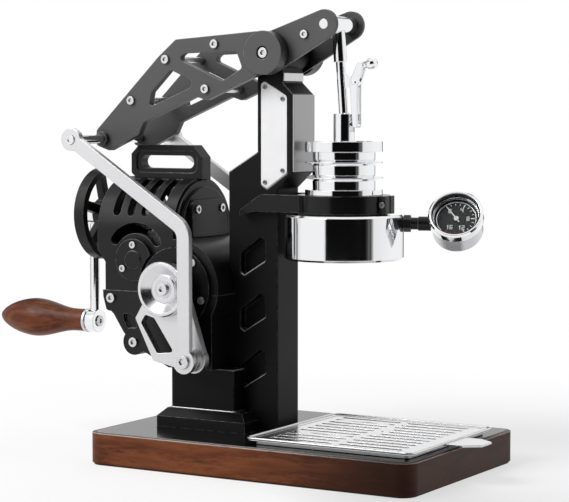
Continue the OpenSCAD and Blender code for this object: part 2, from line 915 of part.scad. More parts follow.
module carry_loop() {
    seat_z = arch_z + case_half_w - 1.5;
    top_z = seat_z + loop_h;
    half = loop_l / 2;
    slot_z = top_z - 8 - loop_slot_h / 2;
    color(satin_black) difference() {
        plate(-loop_t / 2, loop_t / 2) polygon([
            [loop_x - half + 5, seat_z], [loop_x + half, seat_z],
            [loop_x + half, top_z - 9], [loop_x + half - 8, top_z],
            [loop_x - half + 7, top_z], [loop_x - half, top_z - 7], [loop_x - half, seat_z + 4.5]
        ]);
        plate(-loop_t, loop_t) translate([loop_x, slot_z])
            rounded_rect(loop_l - 16, loop_slot_h, loop_slot_h / 2 - eps);
        plate_pair(loop_t / 2 - loop_border_t, loop_t) translate([loop_x, slot_z])
            rounded_rect(loop_l - 16 + 2 * loop_border, loop_slot_h + 2 * loop_border, loop_border + 2);
        rod_x(0, arch_z, case_half_w - 1, loop_x - loop_l, loop_x + loop_l);
    }
}

cap_t = 4;

module lay_bearing_caps() {
    color(satin_black) difference() {
        union() {
            plate_pair(case_half_w, case_half_w + cap_t) translate(lay_at) circle(cap_r);
            plate_pair(case_half_w + cap_t - eps, case_half_w + cap_t + 0.8) translate(lay_at) circle(7);
        }
        rod_y(lay_at, lay_shaft_r + run_gap, -case_half_w - cap_t + 1.5, case_half_w + cap_t - 1.5);
        rod_y(out_at, out_boss_r + 2, -link_y, link_y);
        for (angle = cap_screw_angles) {
            rod_y(ring_point(lay_at, cap_screw_ring_r, angle), 1.3 + run_gap, -link_y, link_y);
        }
    }
}

out_cap_y = case_half_w + 3;

// Round covers that carry the output shaft on both sides of the case
module output_bearing_caps() {
    color(black) difference() {
        union() {
            plate_pair(housing_cavity_y, out_cap_y) translate(out_at) circle(out_boss_r);
            plate_pair(out_cap_y - eps, case_cap_y) translate(out_at) circle(15);
        }
        rod_y(out_at, out_shaft_r + run_gap, -link_y, link_y);
        rod_y(lay_at, lay_shaft_r + 1, -out_cap_y, out_cap_y);
        for (angle = out_cap_screw_angles) {
            face_near(ring_point(out_at, 25, angle), -out_cap_y) screw_hole(2.8);
            face_far(ring_point(out_at, 25, angle), out_cap_y) screw_hole(2.8);
        }
    }
}

out_cap_screw_angles = [-20, 50, 250];

module case_screws() {
    cap_face = case_half_w + cap_t;
    color(steel) {
        for (angle = cap_screw_angles) {
            at = ring_point(lay_at, cap_screw_ring_r, angle);
            face_near(at, -cap_face) cap_screw(2.6, 1.2, 6);
            face_far(at, cap_face) cap_screw(2.6, 1.2, 6);
        }
        for (at = lower_lugs) {
            face_near(at, -case_half_w) cap_screw(lug_screw_r, 2);
            face_far(at, case_half_w) cap_screw(lug_screw_r, 2);
        }
        for (angle = out_cap_screw_angles) {
            at = ring_point(out_at, 25, angle);
            face_near(at, -out_cap_y) cap_screw(2.8);
            face_far(at, out_cap_y) cap_screw(2.8);
        }
        for (y = flange_screws_y) {
            face_front(case_front_x + end_cap_t + flange_t, y, flange_screw_z)
                cap_screw(flange_screw_r, 1.4, 6);
        }
    }
}

bush_r = 9;
bush_flange_r = 14;
bush_end_x = case_rear_x - 6;

module crank_bush() {
    color(brass) difference() {
        union() {
            rod_x(0, crank_z, bush_r, bush_end_x, cavity_rear_x);
            rod_x(0, crank_z, bush_flange_r, bush_end_x, case_rear_x);
        }
        rod_x(0, crank_z, crank_shaft_r + run_gap, bush_end_x - 1, cavity_rear_x + 1);
    }
}

worm_l = 36;
worm_tip_r = worm_r + 0.8 * gear_m;
worm_root_r = worm_r - 1.2 * gear_m;
worm_low_x = lay_at[0] - worm_l / 2;
shaft_end_x = case_front_x - 1.5;

module crank_shaft() {
    color(steel) rod_x(0, crank_z, crank_shaft_r, arm_x - 5, shaft_end_x);
}

// Radius of the worm's thread at an angle round its axis, with straight flanks
function thread_r(angle) =
    let (
        turn = angle * worm_starts / 360,
        offset_share = abs(turn - round(turn)),
        axial = offset_share * PI * gear_m,
        half = (PI * gear_m - backlash) / 4,
        reach = (half - axial) / tan(20)
    )
    max(worm_root_r, min(worm_tip_r, worm_r + reach));

worm_step = 9;
worm_lead = PI * gear_m * worm_starts;

module worm() {
    phase = -360 * (worm_l / 2) / worm_lead;
    color(steel) difference() {
        translate([worm_low_x, 0, crank_z]) rotate([90, 0, 90])
            linear_extrude(worm_l, twist = -360 * worm_l / worm_lead, slices = 36)
            rotate(phase + worm_phase)
            polygon([for (angle = [0 : worm_step : 359]) thread_r(angle) * [cos(angle), sin(angle)]]);
        rod_x(0, crank_z, crank_shaft_r + run_gap, worm_low_x - 1, worm_low_x + worm_l + 1);
    }
}

worm_phase = -90 + 180 / worm_starts;

flywheel_low_x = arm_x + 6.5;
flywheel_w = 9;
flywheel_rim = 5.5;
flywheel_hub_r = 12;

module flywheel() {
    high_x = flywheel_low_x + flywheel_w;
    color(satin_black) difference() {
        union() {
            difference() {
                rod_x(0, crank_z, flywheel_r, flywheel_low_x, high_x);
                rod_x(0, crank_z, flywheel_r - flywheel_rim, flywheel_low_x - 1, high_x + 1);
            }
            rod_x(0, crank_z, flywheel_hub_r, flywheel_low_x, high_x + 8);
            for (spoke = [0 : flywheel_spokes - 1]) {
                translate([flywheel_low_x + 2, 0, crank_z]) rotate([spoke * 360 / flywheel_spokes + 15, 0, 0])
                    translate([0, -3.5, flywheel_hub_r - 1])
                    cube([flywheel_w - 3, 7, flywheel_r - flywheel_rim - flywheel_hub_r + 2]);
            }
        }
        rod_x(0, crank_z, crank_shaft_r + run_gap, flywheel_low_x - 1, high_x + 9);
    }
}

arm_eye_r = 9;
arm_eye_half = arm_r + 0.2;
arm_eye_front_x = arm_x + arm_eye_half;
axle_r = 3.5;

module crank_arm() {
    color(chrome) difference() {
        union() {
            translate([arm_x, 0, grip_z]) cylinder(r = arm_r, h = arm_len);
            rod_x(0, crank_z, arm_eye_r, arm_x - 5, flywheel_low_x - 0.2);
            rod_x(0, grip_z, arm_eye_r, arm_x - arm_eye_half, arm_eye_front_x);
        }
        rod_x(0, crank_z, crank_shaft_r + run_gap, arm_x - 6, flywheel_low_x + 1);
        rod_x(0, grip_z, axle_r + run_gap, arm_x - 6, arm_eye_front_x + 1);
    }
}

module grip_axle() {
    color(steel) difference() {
        union() {
            rod_x(0, grip_z, axle_r, grip_x - grip_l + 20, arm_eye_front_x + eps);
            rod_x(0, grip_z, axle_r + 0.9, arm_eye_front_x, arm_eye_front_x + 1);
        }
        face_front(arm_eye_front_x + 0.2, 0, grip_z) cylinder(r = 2, h = 2, $fn = 6);
    }
}

module grip_ferrule() {
    low = grip_x + run_gap;
    ferrule_l = arm_x - arm_eye_half - seat_gap - low;
    color(chrome) face_front(low, 0, grip_z) rotate_extrude() polygon([
        [axle_r + run_gap, 0], [arm_eye_r, 0], [arm_eye_r + 0.6, ferrule_l * 0.3],
        [arm_eye_r + 0.3, ferrule_l * 0.7], [arm_eye_r - 0.8, ferrule_l], [axle_r + run_gap, ferrule_l]
    ]);
}

// Radius of the grip at a share of its length, from the ferrule to the tip
function grip_profile(share) =
    share < grip_neck
        ? grip_neck_r
        : share < grip_peak
            ? grip_neck_r + (grip_r - grip_neck_r) * (1 - cos(180 * (share - grip_neck) / (grip_peak - grip_neck))) / 2
            : grip_r * pow(max(0, 1 - pow((share - grip_peak) / (1 - grip_peak), 1.7)), 0.62);

grip_neck = 0.11;
grip_neck_r = 8.8;
grip_peak = 0.58;
grip_steps = 36;

module wooden_grip() {
    color(walnut) difference() {
        translate([grip_x, 0, grip_z]) rotate([0, -90, 0]) rotate_extrude() polygon(concat(
            [[0, 0]],
            [for (step = [0 : grip_steps - 1]) [grip_profile(step / grip_steps), grip_l * step / grip_steps]],
            [[0, grip_l]]
        ));
        rod_x(0, grip_z, axle_r + run_gap, grip_x - grip_l + 19, grip_x + 1);
    }
}

lay_end = case_half_w + cap_t - 1.8;

module lay_shaft() {
    color(steel) rod_y(lay_at, lay_shaft_r, -lay_end, lay_end);
}

wheel_tilt = asin(worm_lead / (2 * PI * worm_r) / sqrt(1 + pow(worm_lead / (2 * PI * worm_r), 2)));
wheel_twist = gear_w * tan(wheel_tilt) / wheel_r * 180 / PI;

module worm_wheel() {
    color(steel) difference() {
        translate([lay_at[0], gear_w / 2, lay_at[1]]) rotate([90, 0, 0])
            linear_extrude(gear_w, twist = -wheel_twist, slices = 6)
            rotate(-wheel_twist / 2) spur_outline(wheel_teeth, 90);
        rod_y(lay_at, lay_shaft_r + run_gap, -gear_w, gear_w);
    }
}

pinion_y = 22;

module lay_pinion() {
    color(steel) difference() {
        plate(pinion_y - gear_w / 2 - 1, pinion_y + gear_w / 2 + 1)
            translate(lay_at) spur_outline(pinion_teeth, lay_angle + 180);
        rod_y(lay_at, lay_shaft_r + run_gap, 0, case_half_w);
    }
}

module output_shaft() {
    color(steel) rod_y(out_at, out_shaft_r, -hub_floor_y, hub_floor_y);
}

module output_gear() {
    color(steel) difference() {
        plate(pinion_y - gear_w / 2, pinion_y + gear_w / 2)
            translate(out_at) spur_outline(out_teeth, lay_angle + 180 / out_teeth);
        rod_y(out_at, out_shaft_r + run_gap, 0, case_half_w);
    }
}

web_hub_r = 19;
throw_boss_r = 10;
web_outline = [
    out_at + [-19, -10],
    out_at + [-27, -23],
    out_at + [-11, -54],
    throw_at + [-2, -9.5],
    throw_at + [8.5, 5],
    out_at + [19, -4]
];
web_window = [
    out_at + [-18, -20],
    out_at + [-10, -22],
    throw_at + [-17, 4.5],
    throw_at + [-32, 3],
    out_at + [-22, -26]
];

module crank_webs() {
    color(silver) difference() {
        union() {
            plate_pair(web_y, web_y + web_t) difference() {
                union() {
                    rounded_polygon(web_outline, 2);
                    translate(out_at) circle(web_hub_r);
                    translate(throw_at) circle(throw_boss_r);
                }
                rounded_polygon(web_window, 2);
            }
            plate_pair(web_y + web_t - eps, link_y - 2.3) translate(throw_at) circle(throw_boss_r - 1.5);
            plate_pair(link_y - 2.3 - eps, link_y - seat_gap) translate(throw_at) circle(throw_boss_r - 3.5);
            plate_pair(web_y - 3, web_y + eps) translate(throw_at) circle(throw_boss_r - 2);
        }
        rod_y(out_at, out_shaft_r + run_gap, -link_out, link_out);
    }
}

disc_r = 20.5;
hub_dish = 4.2;
hub_floor_y = hub_y - hub_dish;
disc_t = hub_y - web_y - web_t;

// Turned disc, from its back face outwards: flat back, rim, cone groove and hub
module hub_disc_solid() {
    rotate_extrude() polygon([
        [out_shaft_r + run_gap, 0],
        [disc_r - 1, 0],
        [disc_r, 1],
        [disc_r, disc_t - 1],
        [disc_r - 1, disc_t],
        [disc_r - 3, disc_t],
        [disc_r - 9.5, disc_t - hub_dish - 0.8],
        [disc_r - 10.5, disc_t - hub_dish],
        [out_shaft_r + run_gap, disc_t - hub_dish]
    ]);
}

module hub_discs() {
    color(silver) {
        face_near(out_at, -web_y - web_t) hub_disc_solid();
        face_far(out_at, web_y + web_t) hub_disc_solid();
        face_near(out_at, -hub_floor_y) cap_screw(4.4, 2.4, 0);
        face_far(out_at, hub_floor_y) cap_screw(4.4, 2.4, 0);
    }
}

link_low_r = 9;
link_high_r = 8.5;

link_run = rear_pin_at - bend_at;
link_turn = atan2(link_run[1], link_run[0]) - 90;
link_cut = link_bend_r * tan(link_turn / 2);
bend_low = bend_at - [0, link_cut];
bend_high = bend_at + link_cut * link_run / norm(link_run);

module link_outline() {
    half = link_w / 2;
    taper_bar(throw_at, half - eps, bend_low, half);
    taper_bar(bend_high, half, rear_pin_at, half - eps);
    translate(bend_low - [link_bend_r, 0]) intersection() {
        ring_outline(link_bend_r + half, link_bend_r - half);
        polygon([[0, 0], [2 * link_bend_r, 0], 3 * link_bend_r * [cos(link_turn / 2), sin(link_turn / 2)],
            2 * link_bend_r * [cos(link_turn), sin(link_turn)]]);
    }
    translate(throw_at) circle(link_low_r);
    translate(rear_pin_at) circle(link_high_r);
}

module links() {
    color(silver) difference() {
        plate_pair(link_y, link_out) link_outline();
        rod_y(rear_pin_at, rear_pin_r + run_gap, -2 * link_out, 2 * link_out);
        rod_y(throw_at, 4 + run_gap, -2 * link_out, 2 * link_out);
    }
}

module link_screws() {
    color(steel) {
        face_near(throw_at, -link_out) cap_screw(5, 2, 0);
        face_far(throw_at, link_out) cap_screw(5, 2, 0);
        rod_y(throw_at, 4, link_y, link_out + eps);
        rod_y(throw_at, 4, -link_out - eps, -link_y);
    }
}

rod_len = norm(front_pin_at - rod_pin_at);
rod_heading = atan2(rod_pin_at[0] - front_pin_at[0], front_pin_at[1] - rod_pin_at[1]);
rod_eye_t = 6;

// Draws along the connecting rod, downwards from the front pin
module on_rod() {
    translate([front_pin_at[0], 0, front_pin_at[1]]) rotate([0, -rod_heading, 0]) children();
}

function rod_point(out, down) =
    let (across = [cos(rod_heading), sin(rod_heading)], along = [sin(rod_heading), -cos(rod_heading)])
    front_pin_at + out * across + down * along;

latch_at = rod_point(11.5, 43);
latch_t = 5;

module connecting_rod() {
    color(chrome) difference() {
        union() {
            rod_y(front_pin_at, front_pin_r + 2.6, -nose_in + seat_gap, nose_in - seat_gap);
            on_rod() translate([0, 0, -27]) cylinder(r = rod_r + 1.4, h = 22);
            on_rod() translate([0, 0, -rod_len + 3]) cylinder(r = rod_r, h = rod_len - 26);
            rod_y(rod_pin_at, 5, -rod_eye_t / 2, rod_eye_t / 2);
            plate(-latch_t / 2 + 1, latch_t / 2 - 1) polygon([
                rod_point(0, 34), latch_at + [1.5, 3.2], latch_at + [2, -3], rod_point(0, 46)
            ]);
            rod_y(latch_at, 3.4, -latch_t / 2 + 1, latch_t / 2 - 1);
        }
        rod_y(front_pin_at, front_pin_r + run_gap, -nose_in, nose_in);
        rod_y(latch_at, 1.6 + run_gap, -20, 20);
    }
}

latch_cheek = 1.6;

// Fork that straddles the rod's bracket, with its pin, thumb knob and hook
module release_lever() {
    inner = latch_t / 2 - 0.7;
    foot_at = [group_x + stem_r + 3, rod_pin_z - 7];
    thumb_at = latch_at + [5, 12];
    color(chrome) {
        plate_pair(inner, inner + latch_cheek) taper_bar(latch_at, 3.2, thumb_at, 2.6);
        plate_pair(inner, inner + latch_cheek) taper_bar(latch_at, 3.2, foot_at + [0, 3], 2);
        rod_y(latch_at, 1.6, -inner - latch_cheek - 1, inner + latch_cheek + 1);
        rod_y(thumb_at, 2.4, -inner - latch_cheek, inner + latch_cheek);
        rod_y(foot_at + [0, 3], 1.8, -inner - latch_cheek, inner + latch_cheek);
        translate([thumb_at[0] + 1.5, 0, thumb_at[1] + 0.4]) rotate([0, 80, 0])
            rotate_extrude() polygon([[0, 0], [2.6, 0], [2.8, 3], [4, 4.5], [4.3, 7.5], [3.4, 10], [0, 11]]);
    }
}

piston_low_z = rod_pin_z - 43;
piston_h = 13;
seal_z = piston_low_z + 3.5;
seal_h = 3;
piston_r = bore_r - run_gap;

module piston_stem() {
    color(chrome) difference() {
        union() {
            translate([group_x, 0, piston_low_z + piston_h - eps])
                cylinder(r = stem_r, h = rod_pin_z + 4 - piston_low_z - piston_h);
            translate([group_x, 0, piston_low_z]) cylinder(r = piston_r, h = piston_h);
        }
        translate([group_x, 0, seal_z]) rotate_extrude() translate([piston_r - 2, 0]) square([3, seal_h]);
        translate([group_x - 20, -rod_eye_t / 2 - 0.8, rod_pin_z - 9]) cube([40, rod_eye_t + 1.6, 30]);
    }
}

module piston_seal() {
    color(rubber) translate([group_x, 0, seal_z]) rotate_extrude()
        translate([piston_r - 2 + run_gap, run_gap]) square([2 - run_gap, seal_h - 2 * run_gap]);
}

arm_in = column_half;
arm_t = 8;
clamp_ear_y = 7;
clamp_screw_at = [group_x + ring_r + 1.5, ring_z + ring_h / 2];

module clamp_ring() {
    arm_rear_x = column_rear_x + 14;
    color(satin_black) difference() {
        union() {
            translate([group_x, 0, ring_z]) cylinder(r = ring_r, h = ring_h);
            for (side = [-1, 1]) {
                low_y = side < 0 ? -arm_in - arm_t : arm_in;
                plate(low_y, low_y + arm_t) polygon([
                    [arm_rear_x, ring_z - 3], [arm_rear_x, ring_z + 1], [arm_rear_x + 18, ring_top_z],
                    [group_x, ring_top_z], [group_x, ring_z], [arm_rear_x + 12, ring_z]
                ]);
            }
            translate([group_x, -clamp_ear_y, ring_z]) cube([ring_r + 4, 2 * clamp_ear_y, ring_h]);
        }
        translate([group_x, 0, ring_z - 1]) cylinder(r = cylinder_r + run_gap, h = ring_h + 2);
        translate([group_x, -1, ring_z - 1]) cube([ring_r + 20, 2, ring_h + 2]);
        translate([column_rear_x, -column_half, ring_z - 20])
            cube([column_front_x - column_rear_x, column_w, 80]);
        rod_y(clamp_screw_at, 1.1 + run_gap, -clamp_ear_y - 1, clamp_ear_y - 1);
    }
}

cylinder_low_z = head_z + socket_depth + 4;

// One thin fin round the cylinder, sharp at its edge
module fin(z, t) {
    translate([group_x, 0, z]) rotate_extrude() polygon([
        [cylinder_r - eps, -t], [fin_r, -0.4], [fin_r, 0.4], [cylinder_r - eps, t]
    ]);
}

module brew_cylinder() {
    flange_h = 7.5;
    color(chrome) difference() {
        union() {
            translate([group_x, 0, cylinder_low_z])
                cylinder(r = cylinder_r, h = cylinder_top_z - cylinder_low_z);
            translate([group_x, 0, cylinder_top_z - flange_h]) cylinder(r = fin_r, h = flange_h);
            translate([group_x, 0, ring_top_z]) cylinder(r = fin_r, h = 4);
            fin(cylinder_top_z - 15.2, 2);
            fin(cylinder_top_z - 26.4, 2);
        }
        translate([group_x, 0, cylinder_low_z - 1]) cylinder(r = bore_r, h = cylinder_top_z);
        translate([group_x, 0, cylinder_top_z - 2]) cylinder(r1 = bore_r, r2 = bore_r + 2, h = 2 + eps);
    }
}

module group_gasket() {
    color(rubber) translate([group_x, 0, head_z + head_h]) linear_extrude(1)
        ring_outline(ring_r - 2, cylinder_r + 0.5);
}

module group_head() {
    color(chrome) difference() {
        translate([group_x, 0, head_z]) rotate_extrude() polygon([
            [0, 0], [head_r - 1.5, 0], [head_r, 1.5],
            [head_r, head_h - 1.5], [head_r - 1.5, head_h], [0, head_h]
        ]);
        translate([group_x, 0, head_z - 1]) cylinder(r = socket_r, h = socket_depth + 1);
        translate([group_x, 0, cylinder_low_z]) cylinder(r = cylinder_r + run_gap, h = head_h);
        translate([group_x, 0, head_z]) cylinder(r = bore_r - 2, h = head_h);
        translate([group_x, 0, gauge_z]) rotate([0, 90, gauge_turn]) cylinder(r = 4 + run_gap, h = 100);
    }
}

module shower_screen() {
    top_z = head_z + socket_depth;
    color(steel) translate([group_x, 0, top_z]) difference() {
        cylinder(r = bore_r - 2.3, h = 1.5);
        for (ring = [1 : 3], hole = [0 : 6 * ring - 1]) {
            rotate(hole * 60 / ring) translate([ring * 5, 0, -1]) cylinder(r = 0.9, h = 4);
        }
    }
}

// Draws the gauge in its own frame: its face looks up, its stem leaves along -X
module on_gauge() {
    translate([group_x, 0, gauge_z]) rotate([0, 0, gauge_turn]) translate([gauge_reach, 0, 0])
        rotate([90 - gauge_tilt, 0, 0]) children();
}

module gauge_stem() {
    color(black) translate([group_x, 0, gauge_z]) rotate([0, 90, gauge_turn]) difference() {
        union() {
            translate([0, 0, cylinder_r + 1]) cylinder(r = 4, h = head_r - cylinder_r);
            translate([0, 0, head_r + seat_gap]) cylinder(r = 6.2, h = 5, $fn = 6);
            translate([0, 0, head_r + 5]) cylinder(r = 4.4, h = neck_start - head_r - 5);
            translate([0, 0, neck_start - sleeve_l]) cylinder(r = 5.2, h = sleeve_l);
        }
        translate([0, 0, cylinder_r]) cylinder(r = 1.5, h = neck_start - cylinder_r - 3);
    }
}

gauge_wall = 1.5;
bezel_h = gauge_depth * 0.32;
gauge_back = gauge_depth * 0.36;
bezel_z = gauge_depth - gauge_back - bezel_h;
neck_start = gauge_reach - gauge_r + 1;
sleeve_l = 9;

module gauge_case() {
    case_r = gauge_r - 1.5;
    color(chrome) on_gauge() {
        difference() {
            translate([0, 0, -gauge_back]) cylinder(r = case_r, h = gauge_depth - bezel_h);
            translate([0, 0, gauge_wall - gauge_back]) cylinder(r = case_r - gauge_wall, h = gauge_depth);
        }
        translate([neck_start - gauge_reach, 0, 0]) rotate([0, 90, 0])
            cylinder(r = 3.4, h = gauge_reach - neck_start - case_r + gauge_wall / 2);
    }
}

module gauge_bezel() {
    color(chrome) on_gauge() translate([0, 0, bezel_z]) rotate_extrude() polygon([
        [gauge_r - 4, 0], [gauge_r, 0], [gauge_r, bezel_h - 1.2], [gauge_r - 1.2, bezel_h],
        [gauge_r - 2.2, bezel_h], [gauge_r - 3, bezel_h - 1], [gauge_r - 3, 1.5], [gauge_r - 4, 1.5]
    ]);
}

dial_z = bezel_z - 1.2;

module gauge_dial() {
    color(dial_black) on_gauge() translate([0, 0, dial_z]) difference() {
        cylinder(r = gauge_r - 3.2, h = 0.8);
        translate([0, 0, -1]) cylinder(r = 0.8 + run_gap, h = 3);
    }
}

needle_rest = 127;

module gauge_needle() {
    color("white") on_gauge() translate([0, 0, dial_z + 1.1]) {
        linear_extrude(0.6) rotate(needle_rest)
            polygon([[-3.5, -0.5], [-3.5, 0.5], [gauge_r - 6.5, 0.3], [gauge_r - 6.5, -0.3]]);
        translate([0, 0, -0.2]) cylinder(r = 1.8, h = 1.2);
        translate([0, 0, -1.5]) cylinder(r = 0.8, h = 2);
    }
}

module gauge_lens() {
    color(glass) on_gauge() translate([0, 0, bezel_z + 1.5 + eps])
        cylinder(r = gauge_r - 3 - run_gap, h = 1.2);
}

anti_slip_mat();
base_board();
base_top_plate();
drip_tray();
drip_grate();
pedestal_foot();
pedestal();
column();
column_front_plate();
neck_plate();
side_panels();
column_screws();
pivot_shaft();
truss_plates();
nose_plates();
pivot_discs();
truss_spacers();
lever_screws();
rear_pin();
front_pin();
gear_case_upper();
gear_case_lower();
case_end_cap();
end_cap_flange();
carry_loop();
lay_bearing_caps();
output_bearing_caps();
case_screws();
crank_bush();
crank_shaft();
worm();
flywheel();
crank_arm();
grip_axle();
grip_ferrule();
wooden_grip();
lay_shaft();
worm_wheel();
lay_pinion();
output_shaft();
output_gear();
crank_webs();
hub_discs();
links();
link_screws();
connecting_rod();
release_lever();
piston_stem();
piston_seal();
clamp_ring();
brew_cylinder();
group_gasket();
group_head();
shower_screen();
gauge_stem();
gauge_case();
gauge_bezel();
gauge_dial();
gauge_needle();
gauge_lens();
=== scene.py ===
"""Looks of a hand-cranked espresso maker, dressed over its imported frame."""

import logging
import math
from dataclasses import dataclass, field
from enum import Enum
from typing import Any, Mapping, Optional, Sequence, Union

import bmesh
import bpy
from mathutils import Matrix, Vector


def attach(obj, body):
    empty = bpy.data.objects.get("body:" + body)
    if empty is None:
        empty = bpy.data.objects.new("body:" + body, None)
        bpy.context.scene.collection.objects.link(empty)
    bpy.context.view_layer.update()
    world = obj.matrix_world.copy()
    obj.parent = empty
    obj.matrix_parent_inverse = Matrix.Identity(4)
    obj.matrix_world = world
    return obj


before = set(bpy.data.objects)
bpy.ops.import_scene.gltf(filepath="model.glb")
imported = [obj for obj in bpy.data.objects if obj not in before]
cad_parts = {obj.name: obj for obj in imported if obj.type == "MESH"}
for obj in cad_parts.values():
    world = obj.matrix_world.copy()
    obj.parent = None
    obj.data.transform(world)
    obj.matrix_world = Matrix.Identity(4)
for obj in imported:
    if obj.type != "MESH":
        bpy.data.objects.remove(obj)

LOG = logging.getLogger("espresso_maker")
IMAGE_W = 569
Point = tuple[float, float, float]
Colour = tuple[float, float, float]
Section = Sequence[tuple[float, float]]
UP: Point = (0.0, 0.0, 1.0)
UPPER_RANGE = (0.2, 0.6)
EDGE_GAIN = 6.0
EDGE_SAMPLES = 6
CREVICE_SAMPLES = 8
LIT_EDGE: Colour = (0.80, 0.80, 0.81)
EDGE_HIGHLIGHT: Colour = (0.92, 0.92, 0.93)
CREVICE_SHADE: Colour = (0.01, 0.01, 0.01)
SHADE: Colour = (0.002, 0.002, 0.002)


class Wire:
    """An output socket that Python expressions can be written with."""

    def __init__(self, graph: "Graph", socket: bpy.types.NodeSocket) -> None:
        """Keeps the graph and the socket.

        Args:
            graph: The graph that new nodes are added to.
            socket: The output socket.
        """
        self.graph = graph
        self.socket = socket

    def __add__(self, other: "Value") -> "Wire":
        """Sum of two values."""
        return self.graph.math("ADD", self, other)

    def __radd__(self, other: "Value") -> "Wire":
        """Sum of two values."""
        return self.graph.math("ADD", other, self)

    def __sub__(self, other: "Value") -> "Wire":
        """Difference of two values."""
        return self.graph.math("SUBTRACT", self, other)

    def __rsub__(self, other: "Value") -> "Wire":
        """Difference of two values."""
        return self.graph.math("SUBTRACT", other, self)

    def __mul__(self, other: "Value") -> "Wire":
        """Product of two values."""
        return self.graph.math("MULTIPLY", self, other)

    def sine(self) -> "Wire":
        """Sine of the value, in radians."""
        return self.graph.math("SINE", self)

    def root(self) -> "Wire":
        """Square root of the value."""
        return self.graph.math("SQRT", self)

    def swing(self, width: float) -> "Wire":
        """Turns a value from 0 to 1 into one about 0.

        Args:
            width: The width of the new range.

        Returns:
            The value.
        """
        return (self - 0.5) * width

    def step(self, low: float, high: float) -> "Wire":
        """Smooth step of the value.

        Args:
            low: The value that gives 0.
            high: The value that gives 1.

        Returns:
            The stepped value.
        """
        return self.graph.node(
            "ShaderNodeMapRange",
            {"interpolation_type": "SMOOTHSTEP"},
            {"Value": self, "From Min": low, "From Max": high},
        )


Value = Union[Wire, float]


def toned(colour: Colour, gain: float) -> Colour:
    """A colour made lighter or darker."""
    red, green, blue = colour
    return gain * red, gain * green, gain * blue


